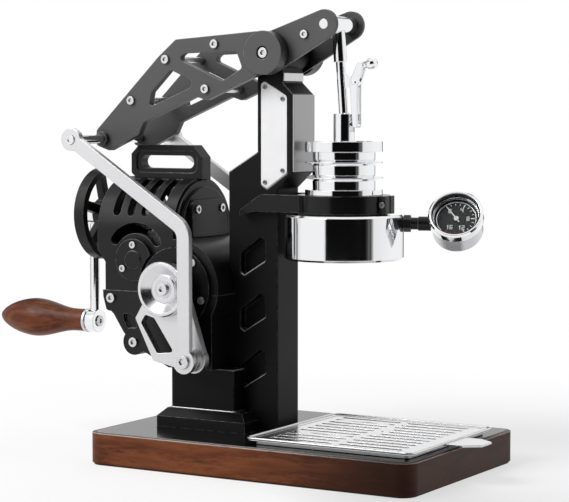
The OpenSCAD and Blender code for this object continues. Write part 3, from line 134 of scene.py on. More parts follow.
class Graph:
    """The node tree of one material, or of the surroundings."""

    def __init__(self, owner: Union[bpy.types.Material, bpy.types.World], end_kind: str) -> None:
        """Starts with an empty tree.

        Args:
            owner: What the tree belongs to.
            end_kind: The type of its output node.
        """
        self.owner = owner
        owner.use_nodes = True
        self.tree = owner.node_tree
        self.tree.nodes.clear()
        self.out = self.tree.nodes.new(end_kind)

    @classmethod
    def material(cls, name: str) -> "Graph":
        """A new material of that name."""
        return cls(bpy.data.materials.new(name), "ShaderNodeOutputMaterial")

    @classmethod
    def surroundings(cls) -> "Graph":
        """The scene's world."""
        bpy.context.scene.world = bpy.context.scene.world or bpy.data.worlds.new("surroundings")
        return cls(bpy.context.scene.world, "ShaderNodeOutputWorld")

    def node(
        self,
        kind: str,
        settings: Optional[Mapping[str, Any]] = None,
        inputs: Optional[Mapping[Any, Any]] = None,
        output: Any = 0,
    ) -> Wire:
        """Adds a node.

        Args:
            kind: The node's type.
            settings: The node's settings; stops are those of a colour ramp.
            inputs: Values or wires by the socket's name or number.
            output: The output socket's name or number.

        Returns:
            The wire of that output.
        """
        made = self.tree.nodes.new(kind)
        for name, value in (settings or {}).items():
            if name == "stops":
                self._set_stops(made, value)
            else:
                setattr(made, name, value)
        for key, value in (inputs or {}).items():
            if isinstance(value, Wire):
                self.tree.links.new(value.socket, made.inputs[key])
            else:
                made.inputs[key].default_value = value
        return Wire(self, made.outputs[output])

    @staticmethod
    def _set_stops(made: bpy.types.Node, stops: Sequence[tuple[float, Colour]]) -> None:
        """Sets a ramp's stops.

        Args:
            made: The ramp node.
            stops: Places and colours.
        """
        elements = made.color_ramp.elements
        while len(elements) < len(stops):
            elements.new(1.0)
        for element, (place, colour) in zip(elements, stops):
            element.position = place
            element.color = (*colour, 1.0)

    def math(self, operation: str, *values: Value) -> Wire:
        """A Math node on values.

        Args:
            operation: The node's operation.
            values: Wires or numbers.

        Returns:
            The result.
        """
        return self.node("ShaderNodeMath", {"operation": operation}, dict(enumerate(values)))

    def place(self, scale: Point = (1.0, 1.0, 1.0), offset: Point = (0.0, 0.0, 0.0)) -> Wire:
        """Coordinates in the object's own frame, in metres.

        Args:
            scale: Factor along each axis.
            offset: Added after the scale.

        Returns:
            The vector.
        """
        coordinates = self.node("ShaderNodeTexCoord", output="Object")
        return self.node("ShaderNodeMapping", None, {"Vector": coordinates, "Scale": scale, "Location": offset})

    def axes(self) -> tuple[Wire, Wire, Wire]:
        """The three coordinates in the object's own frame, in metres."""
        split = self.node("ShaderNodeSeparateXYZ", None, {"Vector": self.place()})
        outputs = split.socket.node.outputs
        return Wire(self, outputs[0]), Wire(self, outputs[1]), Wire(self, outputs[2])

    def noise(self, vector: Wire, scale: float, detail: float = 3.0, rough: float = 0.5) -> Wire:
        """Noise from 0 to 1.

        Args:
            vector: Where to read it.
            scale: Features in a unit of the vector.
            detail: Octaves.
            rough: Strength of the finer octaves.

        Returns:
            The value.
        """
        return self.node(
            "ShaderNodeTexNoise", None, {"Vector": vector, "Scale": scale, "Detail": detail, "Roughness": rough}
        )

    def ramp(self, value: Wire, *stops: tuple[float, Colour]) -> Wire:
        """A colour ramp.

        Args:
            value: The value that is looked up.
            stops: Places and colours.

        Returns:
            The colour.
        """
        return self.node("ShaderNodeValToRGB", {"stops": stops}, {"Fac": value})

    def mix(self, share: Value, first: Any, second: Any) -> Wire:
        """Mixes two colours.

        Args:
            share: Share of the second.
            first: A colour or a wire.
            second: A colour or a wire.

        Returns:
            The colour.
        """
        first, second = (c if isinstance(c, Wire) else (*c, 1.0) for c in (first, second))
        return self.node("ShaderNodeMix", {"data_type": "RGBA"}, {0: share, 6: first, 7: second}, 2)

    def soft_edge(self, radius: float) -> Wire:
        """The normal with rounded edges.

        Args:
            radius: Radius of the rounding in metres.

        Returns:
            The normal.
        """
        return self.node("ShaderNodeBevel", {"samples": EDGE_SAMPLES}, {"Radius": radius})

    def dot(self, first: Wire, second: Any) -> Wire:
        """Dot product of two vectors.

        Args:
            first: A vector's wire.
            second: A vector or a wire.

        Returns:
            The value.
        """
        return self.node("ShaderNodeVectorMath", {"operation": "DOT_PRODUCT"}, {0: first, 1: second}, "Value")

    def edge_mask(self, rounded: Wire) -> Wire:
        """Where an edge is.

        Args:
            rounded: The normal with rounded edges.

        Returns:
            A value from 0 on a face to 1 on an edge.
        """
        flat = self.node("ShaderNodeNewGeometry", output="Normal")
        return self.node("ShaderNodeClamp", None, {"Value": (1.0 - self.dot(rounded, flat)) * EDGE_GAIN})

    def upper_edge(self, rounded: Wire) -> Wire:
        """Where an edge faces up.

        Args:
            rounded: The normal with rounded edges.

        Returns:
            A value from 0 to 1 on an edge that faces up.
        """
        return self.edge_mask(rounded) * self.dot(rounded, UP).step(*UPPER_RANGE)

    def open_share(self, reach: float) -> Wire:
        """How open the surroundings of a point are, from 0 in a crevice to 1.

        Args:
            reach: How far a wall counts, in metres.

        Returns:
            The value.
        """
        return self.node("ShaderNodeAmbientOcclusion", {"samples": CREVICE_SAMPLES}, {"Distance": reach}, "AO")

    def bump(self, height: Wire, depth: float, normal: Optional[Wire] = None, strength: float = 1.0) -> Wire:
        """A bumped normal.

        Args:
            height: Height from 0 to 1.
            depth: What a height of 1 is, in metres.
            normal: The normal that is bumped.
            strength: The node's strength.

        Returns:
            The normal.
        """
        inputs: dict[str, Any] = {"Height": height, "Distance": depth, "Strength": strength}
        if normal is not None:
            inputs["Normal"] = normal
        return self.node("ShaderNodeBump", None, inputs)

    def surface(self, **inputs: Any) -> bpy.types.Material:
        """Ends the material in a Principled shader.

        Args:
            inputs: Values or wires by the socket's name, with _ for a space.

        Returns:
            The material.
        """
        named = {}
        for key, value in inputs.items():
            name = key.replace("_", " ").title().replace("Ior", "IOR")
            if isinstance(value, tuple) and len(value) == 3:
                value = (*value, 1.0)
            named[name] = value
        return self.end(self.node("ShaderNodeBsdfPrincipled", None, named))

    def end(self, shader: Wire) -> bpy.types.Material:
        """Links a shader to the output.

        Args:
            shader: The shader's wire.

        Returns:
            What the tree belongs to.
        """
        self.tree.links.new(shader.socket, self.out.inputs["Surface"])
        return self.owner

    def seen(self) -> Wire:
        """1 for rays of the camera, of a reflection or through glass, and 0 for light."""
        eye, shine, through = (
            self.node("ShaderNodeLightPath", output=f"Is {kind} Ray") for kind in ("Camera", "Glossy", "Transmission")
        )
        return self.math("MAXIMUM", self.math("MAXIMUM", eye, shine), through)


@dataclass(frozen=True)
class Finish:
    """A finish that can be laid on a node or a piece."""

    name: str

    def material(self) -> bpy.types.Material:
        """The finish's material, made once."""
        return bpy.data.materials.get(self.name) or self.make(Graph.material(self.name))

    def make(self, graph: Graph) -> bpy.types.Material:
        """Builds the material.

        Args:
            graph: An empty graph of the finish's name.

        Returns:
            The material.
        """
        raise NotImplementedError


@dataclass(frozen=True)
class Coat(Finish):
    """Paint or powder on metal, with a fine grain, and edges lighter in patches: partly wear, partly a painted
    highlight.

    lit is the share of a painted highlight on edges that face up, and depth is the reach in metres of the crevices
    that get painted shade. At 0 both are left out.
    """

    colour: Colour = (0.03, 0.03, 0.032)
    highlight_and_wear: Colour = (0.12, 0.12, 0.125)
    roughness: float = 0.42
    grain: float = 2200.0
    grain_depth: float = 0.00004
    edge: float = 0.0008
    gloss: float = 0.0
    shine: float = 0.2
    wear: float = 0.34
    wear_span: float = 0.28
    lit: float = 0.0
    depth: float = 0.0

    def make(self, graph: Graph) -> bpy.types.Material:
        """Builds the material.

        Args:
            graph: An empty graph of the finish's name.

        Returns:
            The material.
        """
        here = graph.place()
        speckle = graph.noise(here, scale=self.grain, detail=2.0)
        cloud = graph.noise(here, scale=18.0, detail=4.0, rough=0.6)
        rounded = graph.soft_edge(self.edge)
        patches = graph.noise(here, scale=260.0, detail=3.0).step(self.wear, self.wear + self.wear_span)
        # Edges lighter in patches: partly wear, partly a painted highlight.
        highlight_and_wear_mask = graph.edge_mask(rounded) * patches
        tone = graph.mix(cloud.step(0.3, 0.75) * 0.35, self.colour, toned(self.colour, 1.35))
        paint = graph.mix(highlight_and_wear_mask * 0.8, tone, self.highlight_and_wear)
        if self.lit > 0.0:
            paint = graph.mix(graph.upper_edge(rounded) * self.lit, paint, LIT_EDGE)
        # Painted shade in crevices and between parts.
        if self.depth > 0.0:
            paint = graph.mix(graph.open_share(self.depth).step(0.90, 0.30), paint, SHADE)
        return graph.surface(
            base_color=paint,
            roughness=self.roughness + cloud.swing(0.14) + speckle.swing(0.08),
            normal=graph.bump(speckle, self.grain_depth, rounded, strength=0.5),
            specular_ior_level=self.shine,
            coat_weight=self.gloss,
            coat_roughness=0.05,
        )


@dataclass(frozen=True)
class Walnut(Finish):
    """Oiled walnut with long streaks and fine pores along X.

    rim is the painted sheen of edges that face up. Along X the board darkens towards its right end with painted
    shade, which begins and is full at the two places given and reaches the share given.
    """

    dark: Colour = (0.034, 0.0085, 0.003)
    middle: Colour = (0.108, 0.029, 0.0092)
    light: Colour = (0.215, 0.067, 0.0225)
    stretch: Point = (0.15, 0.19, 1.0)
    offset: Point = (0.0, 0.0, 0.0)
    roughness: float = 0.44
    shine: float = 0.14
    rim: Colour = (0.80, 0.62, 0.55)
    rim_share: float = 0.9
    shade_run: tuple[float, float] = (-0.02, 0.13)
    shade_share: float = 0.0
    edge: float = 0.0018

    def make(self, graph: Graph) -> bpy.types.Material:
        """Builds the material.

        Args:
            graph: An empty graph of the finish's name.

        Returns:
            The material.
        """
        along = graph.place(self.stretch, self.offset)
        waver = graph.noise(along, scale=26.0, detail=3.0)
        streaks = graph.noise(along, scale=420.0, detail=6.0, rough=0.66)
        bands = ((waver * 44.0 + streaks * 5.0).sine() + 1.0) * 0.5
        pores = graph.noise(graph.place((0.045, 1.0, 1.0), self.offset), scale=1500.0, detail=3.0, rough=0.7)
        pit = pores.step(0.60, 0.72)
        cloud = graph.noise(graph.place((0.4, 0.4, 1.0)), scale=14.0, detail=2.0)
        tone = graph.ramp(
            bands * 0.14 + streaks * 0.56 + cloud * 0.30,
            (0.26, self.dark),
            (0.46, self.middle),
            (0.60, tuple(0.5 * (m + l) for m, l in zip(self.middle, self.light))),
            (0.78, self.light),
        )
        if self.shade_share > 0.0:
            # Painted shade: the board darkens along X towards its right end.
            end_shade = (graph.axes()[0] + cloud.swing(0.03)).step(*self.shade_run)
            tone = graph.mix(end_shade * self.shade_share, tone, toned(self.dark, 0.25))
        rounded = graph.soft_edge(self.edge)
        # Painted sheen on edges that face up.
        highlight_and_wear = graph.mix(graph.upper_edge(rounded) * self.rim_share, tone, self.rim)
        return graph.surface(
            base_color=graph.mix(pit * 0.75, highlight_and_wear, self.dark),
            roughness=self.roughness + pit * 0.22 + streaks.swing(0.16),
            normal=graph.bump(1.0 - pit * 0.8 - streaks * 0.2, depth=0.00012, normal=rounded, strength=0.6),
            specular_ior_level=self.shine,
        )


@dataclass(frozen=True)
class Brushed(Finish):
    """Metal brushed along one axis."""

    colour: Colour = (0.58, 0.58, 0.60)
    scratch: Point = (25.0, 2600.0, 2600.0)
    roughness: float = 0.30
    spread: float = 0.16
    depth: float = 0.000012
    edge: float = 0.0006
    crevice: float = 0.0012

    def make(self, graph: Graph) -> bpy.types.Material:
        """Builds the material.

        Args:
            graph: An empty graph of the finish's name.

        Returns:
            The material.
        """
        lines = graph.noise(graph.place(self.scratch), scale=1.0, detail=4.0, rough=0.65)
        cloud = graph.noise(graph.place(), scale=22.0, detail=3.0)
        rounded = graph.soft_edge(self.edge)
        groove, ridge = toned(self.colour, 0.78), toned(self.colour, 1.14)
        # Edges get a lighter colour: a painted highlight.
        bright = graph.mix(graph.edge_mask(rounded) * 0.6, graph.mix(lines, groove, ridge), EDGE_HIGHLIGHT)
        # Crevices and sockets: painted shade in the colour, and dirt that makes them rougher.
        grime_and_shade = 1.0 - graph.open_share(self.crevice).step(0.25, 0.85)
        return graph.surface(
            base_color=graph.mix(grime_and_shade, bright, CREVICE_SHADE),
            metallic=1.0,
            roughness=self.roughness + grime_and_shade * 0.3 + lines.swing(self.spread) + cloud.swing(0.10),
            normal=graph.bump(lines, self.depth, rounded),
        )


@dataclass(frozen=True)
class Turned(Finish):
    """Metal turned on a lathe, with fine rings round an axis along Y."""

    centre: tuple[float, float] = (0.0, 0.0)
    colour: Colour = (0.80, 0.80, 0.82)
    pitch: float = 0.00035
    roughness: float = 0.22
    edge: float = 0.0005
    ridge: Colour = (0.94, 0.94, 0.95)

    def make(self, graph: Graph) -> bpy.types.Material:
        """Builds the material.

        Args:
            graph: An empty graph of the finish's name.

        Returns:
            The material.
        """
        x, _, z = graph.axes()
        across, up = x - self.centre[0], z - self.centre[1]
        radius = (across * across + up * up).root()
        rings = ((radius * (2 * math.pi / self.pitch)).sine() + 1.0) * 0.5
        uneven = graph.noise(graph.place(), scale=700.0, detail=3.0)
        rounded = graph.soft_edge(self.edge)
        tone = graph.mix(rings * uneven, toned(self.colour, 0.84), self.colour)
        return graph.surface(
            # Edges get the lighter ridge colour: a painted highlight.
            base_color=graph.mix(graph.edge_mask(rounded) * 0.5, tone, self.ridge),
            metallic=1.0,
            roughness=self.roughness + uneven.swing(0.12),
            normal=graph.bump(rings, depth=0.000006, normal=rounded),
        )


@dataclass(frozen=True)
class Mirror(Finish):
    """Polished plating with faint smears."""

    colour: Colour = (0.88, 0.885, 0.90)
    roughness: float = 0.045
    edge: float = 0.0006

    def make(self, graph: Graph) -> bpy.types.Material:
        """Builds the material.

        Args:
            graph: An empty graph of the finish's name.

        Returns:
            The material.
        """
        smear = graph.noise(graph.place((1.0, 1.0, 0.35)), scale=55.0, detail=4.0, rough=0.6)
        dust = graph.noise(graph.place(), scale=1900.0, detail=2.0)
        rounded = graph.soft_edge(self.edge)
        return graph.surface(
            base_color=graph.mix(smear * 0.5, self.colour, toned(self.colour, 0.93)),
            metallic=1.0,
            roughness=self.roughness + smear.step(0.45, 0.8) * 0.06 + dust.step(0.66, 0.8) * 0.03,
            normal=rounded,
        )


@dataclass(frozen=True)
class Rubber(Finish):
    """Matte rubber with a fine texture."""

    colour: Colour = (0.016, 0.016, 0.017)
    dusty: Colour = (0.05, 0.05, 0.052)
    roughness: float = 0.75

    def make(self, graph: Graph) -> bpy.types.Material:
        """Builds the material.

        Args:
            graph: An empty graph of the finish's name.

        Returns:
            The material.
        """
        grain = graph.noise(graph.place(), scale=1400.0, detail=3.0)
        dust = graph.noise(graph.place(), scale=60.0, detail=4.0)
        return graph.surface(
            base_color=graph.mix(dust.step(0.5, 0.8) * 0.4, self.colour, self.dusty),
            roughness=self.roughness + grain.swing(0.2),
            normal=graph.bump(grain, depth=0.00006, strength=0.6),
        )


@dataclass(frozen=True)
class Printed(Finish):
    """Matte paint or print on a dial."""

    colour: Colour = (0.02, 0.02, 0.02)
    roughness: float = 0.55

    def make(self, graph: Graph) -> bpy.types.Material:
        """Builds the material.

        Args:
            graph: An empty graph of the finish's name.

        Returns:
            The material.
        """
        grain = graph.noise(graph.place(), scale=2600.0, detail=2.0)
        return graph.surface(
            base_color=graph.mix(grain * 0.3, self.colour, toned(self.colour, 0.8)),
            roughness=self.roughness + grain.swing(0.1),
            normal=graph.bump(grain, depth=0.00001),
        )


@dataclass(frozen=True)
class ClearGlass(Finish):
    """A thin clear window: it lets light straight through and shines at its surface."""

    shine: Colour = (0.9, 0.92, 0.93)
    clear: Colour = (0.97, 0.98, 0.98)
    roughness: float = 0.02
    ior: float = 1.45
    share: float = 0.03

    def make(self, graph: Graph) -> bpy.types.Material:
        """Builds the material.

        Args:
            graph: An empty graph of the finish's name.

        Returns:
            The material.
        """
        smear = graph.noise(graph.place(), scale=120.0, detail=3.0)
        rough = self.roughness + smear.step(0.5, 0.8) * 0.06
        shine = graph.node(
            "ShaderNodeBsdfPrincipled", None, {"Base Color": (*self.shine, 1.0), "Roughness": rough, "Metallic": 1.0}
        )
        clear = graph.node("ShaderNodeBsdfTransparent", None, {"Color": (*self.clear, 1.0)})
        facing = graph.node("ShaderNodeFresnel", None, {"IOR": self.ior})
        return graph.end(graph.node("ShaderNodeMixShader", None, {0: facing * self.share, 1: clear, 2: shine}))


class Shop(Enum):
    """The finishes of this machine."""

    # The board's right end is darkened with painted shade.
    WALNUT_BOARD = Walnut("walnut_board", shade_share=0.72)
    WALNUT_GRIP = Walnut(
        "walnut_grip", dark=(0.024, 0.0055, 0.0022), middle=(0.090, 0.023, 0.0085), light=(0.205, 0.062, 0.024),
        stretch=(0.20, 1.0, 1.0), offset=(0.31, 0.17, 0.05), roughness=0.34, shine=0.16, rim_share=0.0,
    )
    # Its near-white edge colour paints a highlight line along the plate's rim.
    PLATE_BLACK = Coat(
        "gloss_black_plate", colour=(0.004, 0.004, 0.0042), highlight_and_wear=(0.80, 0.79, 0.78), roughness=0.16, grain=1500.0,
        grain_depth=0.000002, edge=0.0007, gloss=0.0, shine=0.15, wear=0.0,
    )
    GLOSS_BLACK = Coat(
        "gloss_black_casting", colour=(0.004, 0.004, 0.0042), highlight_and_wear=(0.42, 0.42, 0.43), roughness=0.30,
        grain=1500.0, grain_depth=0.00001, edge=0.0006, gloss=0.1, shine=0.15,
    )
    SATIN_BLACK = Coat(
        "satin_black_casting", colour=(0.003, 0.003, 0.0031), highlight_and_wear=(0.16, 0.16, 0.165), roughness=0.34,
        grain=2400.0, grain_depth=0.00003, edge=0.0009, gloss=0.0, shine=0.26, lit=0.15,
    )
    COLUMN_BLACK = Coat(
        "satin_black_column", colour=(0.0025, 0.0025, 0.0026), highlight_and_wear=(0.04, 0.04, 0.042), roughness=0.42,
        grain=2400.0, grain_depth=0.00002, edge=0.0022, gloss=0.0, shine=0.12, lit=0.75,
    )
    CLAMP_BLACK = Coat(
        "gloss_black_clamp", colour=(0.003, 0.003, 0.0032), highlight_and_wear=(0.16, 0.16, 0.165), roughness=0.20,
        grain=2400.0, grain_depth=0.000008, edge=0.0009, gloss=0.0, shine=0.25,
    )
    # depth paints shade on the lever's inner faces and round its screws.
    LEVER_BLACK = Coat(
        "satin_black_lever", colour=(0.060, 0.060, 0.061), highlight_and_wear=(0.26, 0.26, 0.265), roughness=0.40, grain=2600.0,
        grain_depth=0.00002, edge=0.0008, gloss=0.0, shine=0.35, lit=0.25, depth=0.050,
    )
    PANEL_GREY = Coat(
        "light_grey_panel", colour=(0.74, 0.74, 0.75), highlight_and_wear=(0.86, 0.86, 0.86), roughness=0.46, grain=2600.0,
        grain_depth=0.00001, edge=0.0004, gloss=0.0, shine=0.4,
    )
    BLASTED = Brushed(
        "blasted_silver", colour=(0.66, 0.66, 0.67), scratch=(1500.0, 1500.0, 1500.0), roughness=0.36,
        spread=0.10, depth=0.00001, edge=0.0007,
    )
    TURNED_HUB = Turned("turned_hub", centre=(-0.0844, 0.1307))
    CHROME = Mirror("chrome_plate")
    STEEL = Brushed(
        "bright_steel", colour=(0.66, 0.66, 0.68), scratch=(900.0, 900.0, 900.0), roughness=0.28, spread=0.14,
        depth=0.000008, edge=0.0004,
    )
    DARK_STEEL = Brushed(
        "dark_steel", colour=(0.16, 0.16, 0.165), scratch=(900.0, 900.0, 900.0), roughness=0.32, spread=0.14,
        depth=0.000008, edge=0.0004,
    )
    FRONT_STEEL = Brushed(
        "brushed_front", colour=(0.34, 0.34, 0.345), scratch=(3000.0, 3000.0, 16.0), roughness=0.34, spread=0.20,
    )
    NECK_STEEL = Brushed(
        "brushed_neck", colour=(0.62, 0.62, 0.63), scratch=(3000.0, 3000.0, 16.0), roughness=0.34, spread=0.20,
    )
    STAINLESS = Brushed(
        "brushed_tray", colour=(0.70, 0.70, 0.71), scratch=(20.0, 2600.0, 2600.0), roughness=0.24, spread=0.12,
        depth=0.000002, edge=0.0004, crevice=0.003,
    )
    BRASS = Brushed(
        "machined_brass", colour=(0.72, 0.52, 0.25), scratch=(1200.0, 1200.0, 1200.0), roughness=0.28,
        spread=0.12,
    )
    RUBBER = Rubber("black_rubber")
    DIAL_BLACK = Printed("dial_paint", colour=(0.004, 0.004, 0.004))
    DIAL_WHITE = Printed("dial_white", colour=(0.82, 0.82, 0.80))
    DIAL_RED = Printed("dial_red", colour=(0.30, 0.02, 0.03))
    GLASS = ClearGlass("lens_glass")

    def lay_on(self, *nodes: str) -> None:
        """Lays the finish on nodes of the frame.

        Args:
            nodes: The nodes' names.
        """
        for name in nodes:
            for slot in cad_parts[name].material_slots:
                slot.material = self.value.material()
            LOG.info("%s wears %s", name, self.value.name)


def new_object(name: str, mesh: bmesh.types.BMesh, material: bpy.types.Material) -> bpy.types.Object:
    """Puts a mesh in the scene.

    Args:
        name: The object's name.
        mesh: Its mesh, which is freed.
        material: Its material.

    Returns:
        The object.
    """
    data = bpy.data.meshes.new(name)
    mesh.to_mesh(data)
    mesh.free()
    data.materials.append(material)
    made = bpy.data.objects.new(name, data)
    bpy.context.scene.collection.objects.link(made)
    return made


def new_piece(name: str, mesh: bmesh.types.BMesh, body: str, finish: Shop) -> None:
    """Makes a piece that rides on a body.

    Args:
        name: The piece's name.
        mesh: Its mesh, which is freed.
        body: The body that it rides on.
        finish: The finish that is laid on it.
    """
    bmesh.ops.recalc_face_normals(mesh, faces=mesh.faces)
    made = new_object(name, mesh, finish.value.material())
    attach(made, body)
    LOG.info("%s is built on %s", name, body)


def add_block(mesh: bmesh.types.BMesh, corners: Section, low: float, high: float, place: Matrix) -> None:
    """Adds a flat block with the outline given.

    Args:
        mesh: The mesh that takes it.
        corners: The outline, anticlockwise.
        low: Its underside.
        high: Its top.
        place: Where the outline's plane stands.
    """
    under = [mesh.verts.new(place @ Vector((x, y, low))) for x, y in corners]
    over = [mesh.verts.new(place @ Vector((x, y, high))) for x, y in corners]
    count = len(corners)
    mesh.faces.new(over)
    mesh.faces.new(list(reversed(under)))
    for i in range(count):
        j = (i + 1) % count
        mesh.faces.new((under[i], under[j], over[j], over[i]))


def ring_turns(steps: int) -> list[float]:
    """Angles once round, in radians."""
    return [2 * math.pi * step / steps for step in range(steps)]


def rectangle(half_x: float, half_y: float) -> list[Vector]:
    """Corners of a flat rectangle about the origin, anticlockwise."""
    return [Vector((x * half_x, y * half_y, 0.0)) for x, y in ((-1, -1), (1, -1), (1, 1), (-1, 1))]


def join_round(mesh: bmesh.types.BMesh, rings: Sequence[Sequence[bmesh.types.BMVert]]) -> None:
    """Skins the sections of a closed round bar.

    Args:
        mesh: The mesh that takes the faces.
        rings: The sections in order.
    """
    for here, there in zip(rings, [*rings[1:], rings[0]]):
        for i in range(len(here)):
            j = (i + 1) % len(here)
            mesh.faces.new((here[i], here[j], there[j], there[i])).smooth = True


def round_bar(path: Sequence[tuple[Vector, Vector]], radius: float, steps: int) -> bmesh.types.BMesh:
    """A closed round bar along a level path.

    Args:
        path: Points and outward directions, once round.
        radius: The bar's radius.
        steps: Points of a section.

    Returns:
        The mesh.
    """
    mesh, up = bmesh.new(), Vector(UP)
    join_round(mesh, [
        [mesh.verts.new(at + radius * (math.cos(t) * out + math.sin(t) * up)) for t in ring_turns(steps)]
        for at, out in path
    ])
    return mesh


def rounded_path(
    centre: Point, length: float, width: float, corner: float, inset: float, steps: int
) -> list[tuple[Vector, Vector]]:
    """The middle line of a bar that follows a level rectangle with round corners.

    Args:
        centre: The rectangle's middle.
        length: Its size along X.
        width: Its size along Y.
        corner: Radius of its corners.
        inset: How far inside the rectangle the line runs.
        steps: Sections of each corner.

    Returns:
        Points and outward directions, once round.
    """
    half_l, half_w = length / 2 - corner, width / 2 - corner
    line = []
    for quarter, (sx, sy) in enumerate(((1, 1), (-1, 1), (-1, -1), (1, -1))):
        middle = Vector(centre) + Vector((sx * half_l, sy * half_w, 0.0))
        for step in range(steps + 1):
            angle = math.pi / 2 * (quarter + step / steps)
            out = Vector((math.cos(angle), math.sin(angle), 0.0))
            line.append((middle + (corner - inset) * out, out))
    return line


Finishes = tuple[tuple[Shop, tuple[str, ...]], ...]


@dataclass
class Unit:
    """A sub-assembly with the finishes of its nodes."""

    finishes: Finishes = ()

    def build(self) -> None:
        """Builds pieces beside the frame's nodes; a plain unit has none."""

    def dress(self) -> None:
        """Lays the finishes on the frame's nodes."""
        for finish, nodes in self.finishes:
            finish.lay_on(*nodes)


@dataclass
class BaseUnit(Unit):
    """Wooden board with its rubber mat and black top plate."""

    finishes: Finishes = (
        (Shop.WALNUT_BOARD, ("base_board",)),
        (Shop.RUBBER, ("anti_slip_mat",)),
        (Shop.PLATE_BLACK, ("base_top_plate",)),
    )


@dataclass
class DripTray(Unit):
    """Stainless tray with its slotted grate and a rolled rim."""

    finishes: Finishes = ((Shop.STAINLESS, ("drip_tray", "drip_grate")),)
    length: float = 0.134
    width: float = 0.132
    corner: float = 0.006
    centre: Point = (0.064, -0.010, 0.0292)
    rim_r: float = 0.0010
    rim_inset: float = 0.00045
    corner_steps: int = 8
    ring_steps: int = 12

    def build(self) -> None:
        """Builds the rolled rim."""
        path = rounded_path(self.centre, self.length, self.width, self.corner, self.rim_inset, self.corner_steps)
        rim = round_bar(path, self.rim_r, self.ring_steps)
        new_piece("tray_rim", rim, "drip_tray", Shop.STAINLESS)


@dataclass
class Column(Unit):
    """Pedestal and column with the plates screwed to it."""

    finishes: Finishes = (
        (Shop.GLOSS_BLACK, ("pedestal_foot",)),
        (Shop.COLUMN_BLACK, ("pedestal", "column")),
        (Shop.FRONT_STEEL, ("column_front_plate",)),
        (Shop.NECK_STEEL, ("neck_plate",)),
        (Shop.PANEL_GREY, ("side_panels",)),
        (Shop.DARK_STEEL, ("column_screws",)),
    )
    bead_centre: Point = (-0.0685, 0.0, 0.0387)
    bead_l: float = 0.0556
    bead_w: float = 0.0606
    bead_r: float = 0.0007
    bead_corner: float = 0.001
    corner_steps: int = 4
    ring_steps: int = 10

    def build(self) -> None:
        """Builds a bright steel bead round the bottom of the pedestal, standing in for a highlight along the foot's
        top edge.
        """
        path = rounded_path(self.bead_centre, self.bead_l, self.bead_w, self.bead_corner, 0.0, self.corner_steps)
        bead = round_bar(path, self.bead_r, self.ring_steps)
        new_piece("pedestal_highlight_bead", bead, "frame", Shop.STEEL)


@dataclass
class Lever(Unit):
    """Rocking lever: truss plates, nose plates, pins and screws."""

    finishes: Finishes = (
        (Shop.LEVER_BLACK, ("truss_plates", "nose_plates", "pivot_discs")),
        (Shop.STEEL, ("truss_spacers", "lever_screws", "pivot_shaft")),
        (Shop.CHROME, ("rear_pin", "front_pin")),
    )


@dataclass
class GearCase(Unit):
    """Cast case of the gears with its caps and carry loop."""

    finishes: Finishes = (
        (Shop.SATIN_BLACK, ("gear_case_upper", "gear_case_lower", "case_end_cap", "end_cap_flange", "carry_loop",
                            "lay_bearing_caps")),
        (Shop.GLOSS_BLACK, ("output_bearing_caps",)),
        (Shop.STEEL, ("case_screws",)),
        (Shop.BRASS, ("crank_bush",)),
    )


@dataclass
class Drive(Unit):
    """Hand crank, gears, output crank and links."""

    finishes: Finishes = (
        (Shop.STEEL, ("crank_shaft", "worm", "grip_axle", "lay_shaft", "lay_pinion", "output_shaft", "link_screws",
                      "worm_wheel", "output_gear")),
        (Shop.SATIN_BLACK, ("flywheel",)),
        (Shop.CHROME, ("crank_arm",)),
        (Shop.BLASTED, ("grip_ferrule", "crank_webs", "links")),
        (Shop.WALNUT_GRIP, ("wooden_grip",)),
        (Shop.TURNED_HUB, ("hub_discs",)),
    )


@dataclass
class BrewGroup(Unit):
    """Rod, piston, cylinder, clamp ring and group head."""

    finishes: Finishes = (
        (Shop.CHROME, ("connecting_rod", "release_lever", "piston_stem", "brew_cylinder", "group_head")),
        (Shop.RUBBER, ("piston_seal", "group_gasket")),
        (Shop.CLAMP_BLACK, ("clamp_ring",)),
        (Shop.STEEL, ("shower_screen",)),
    )


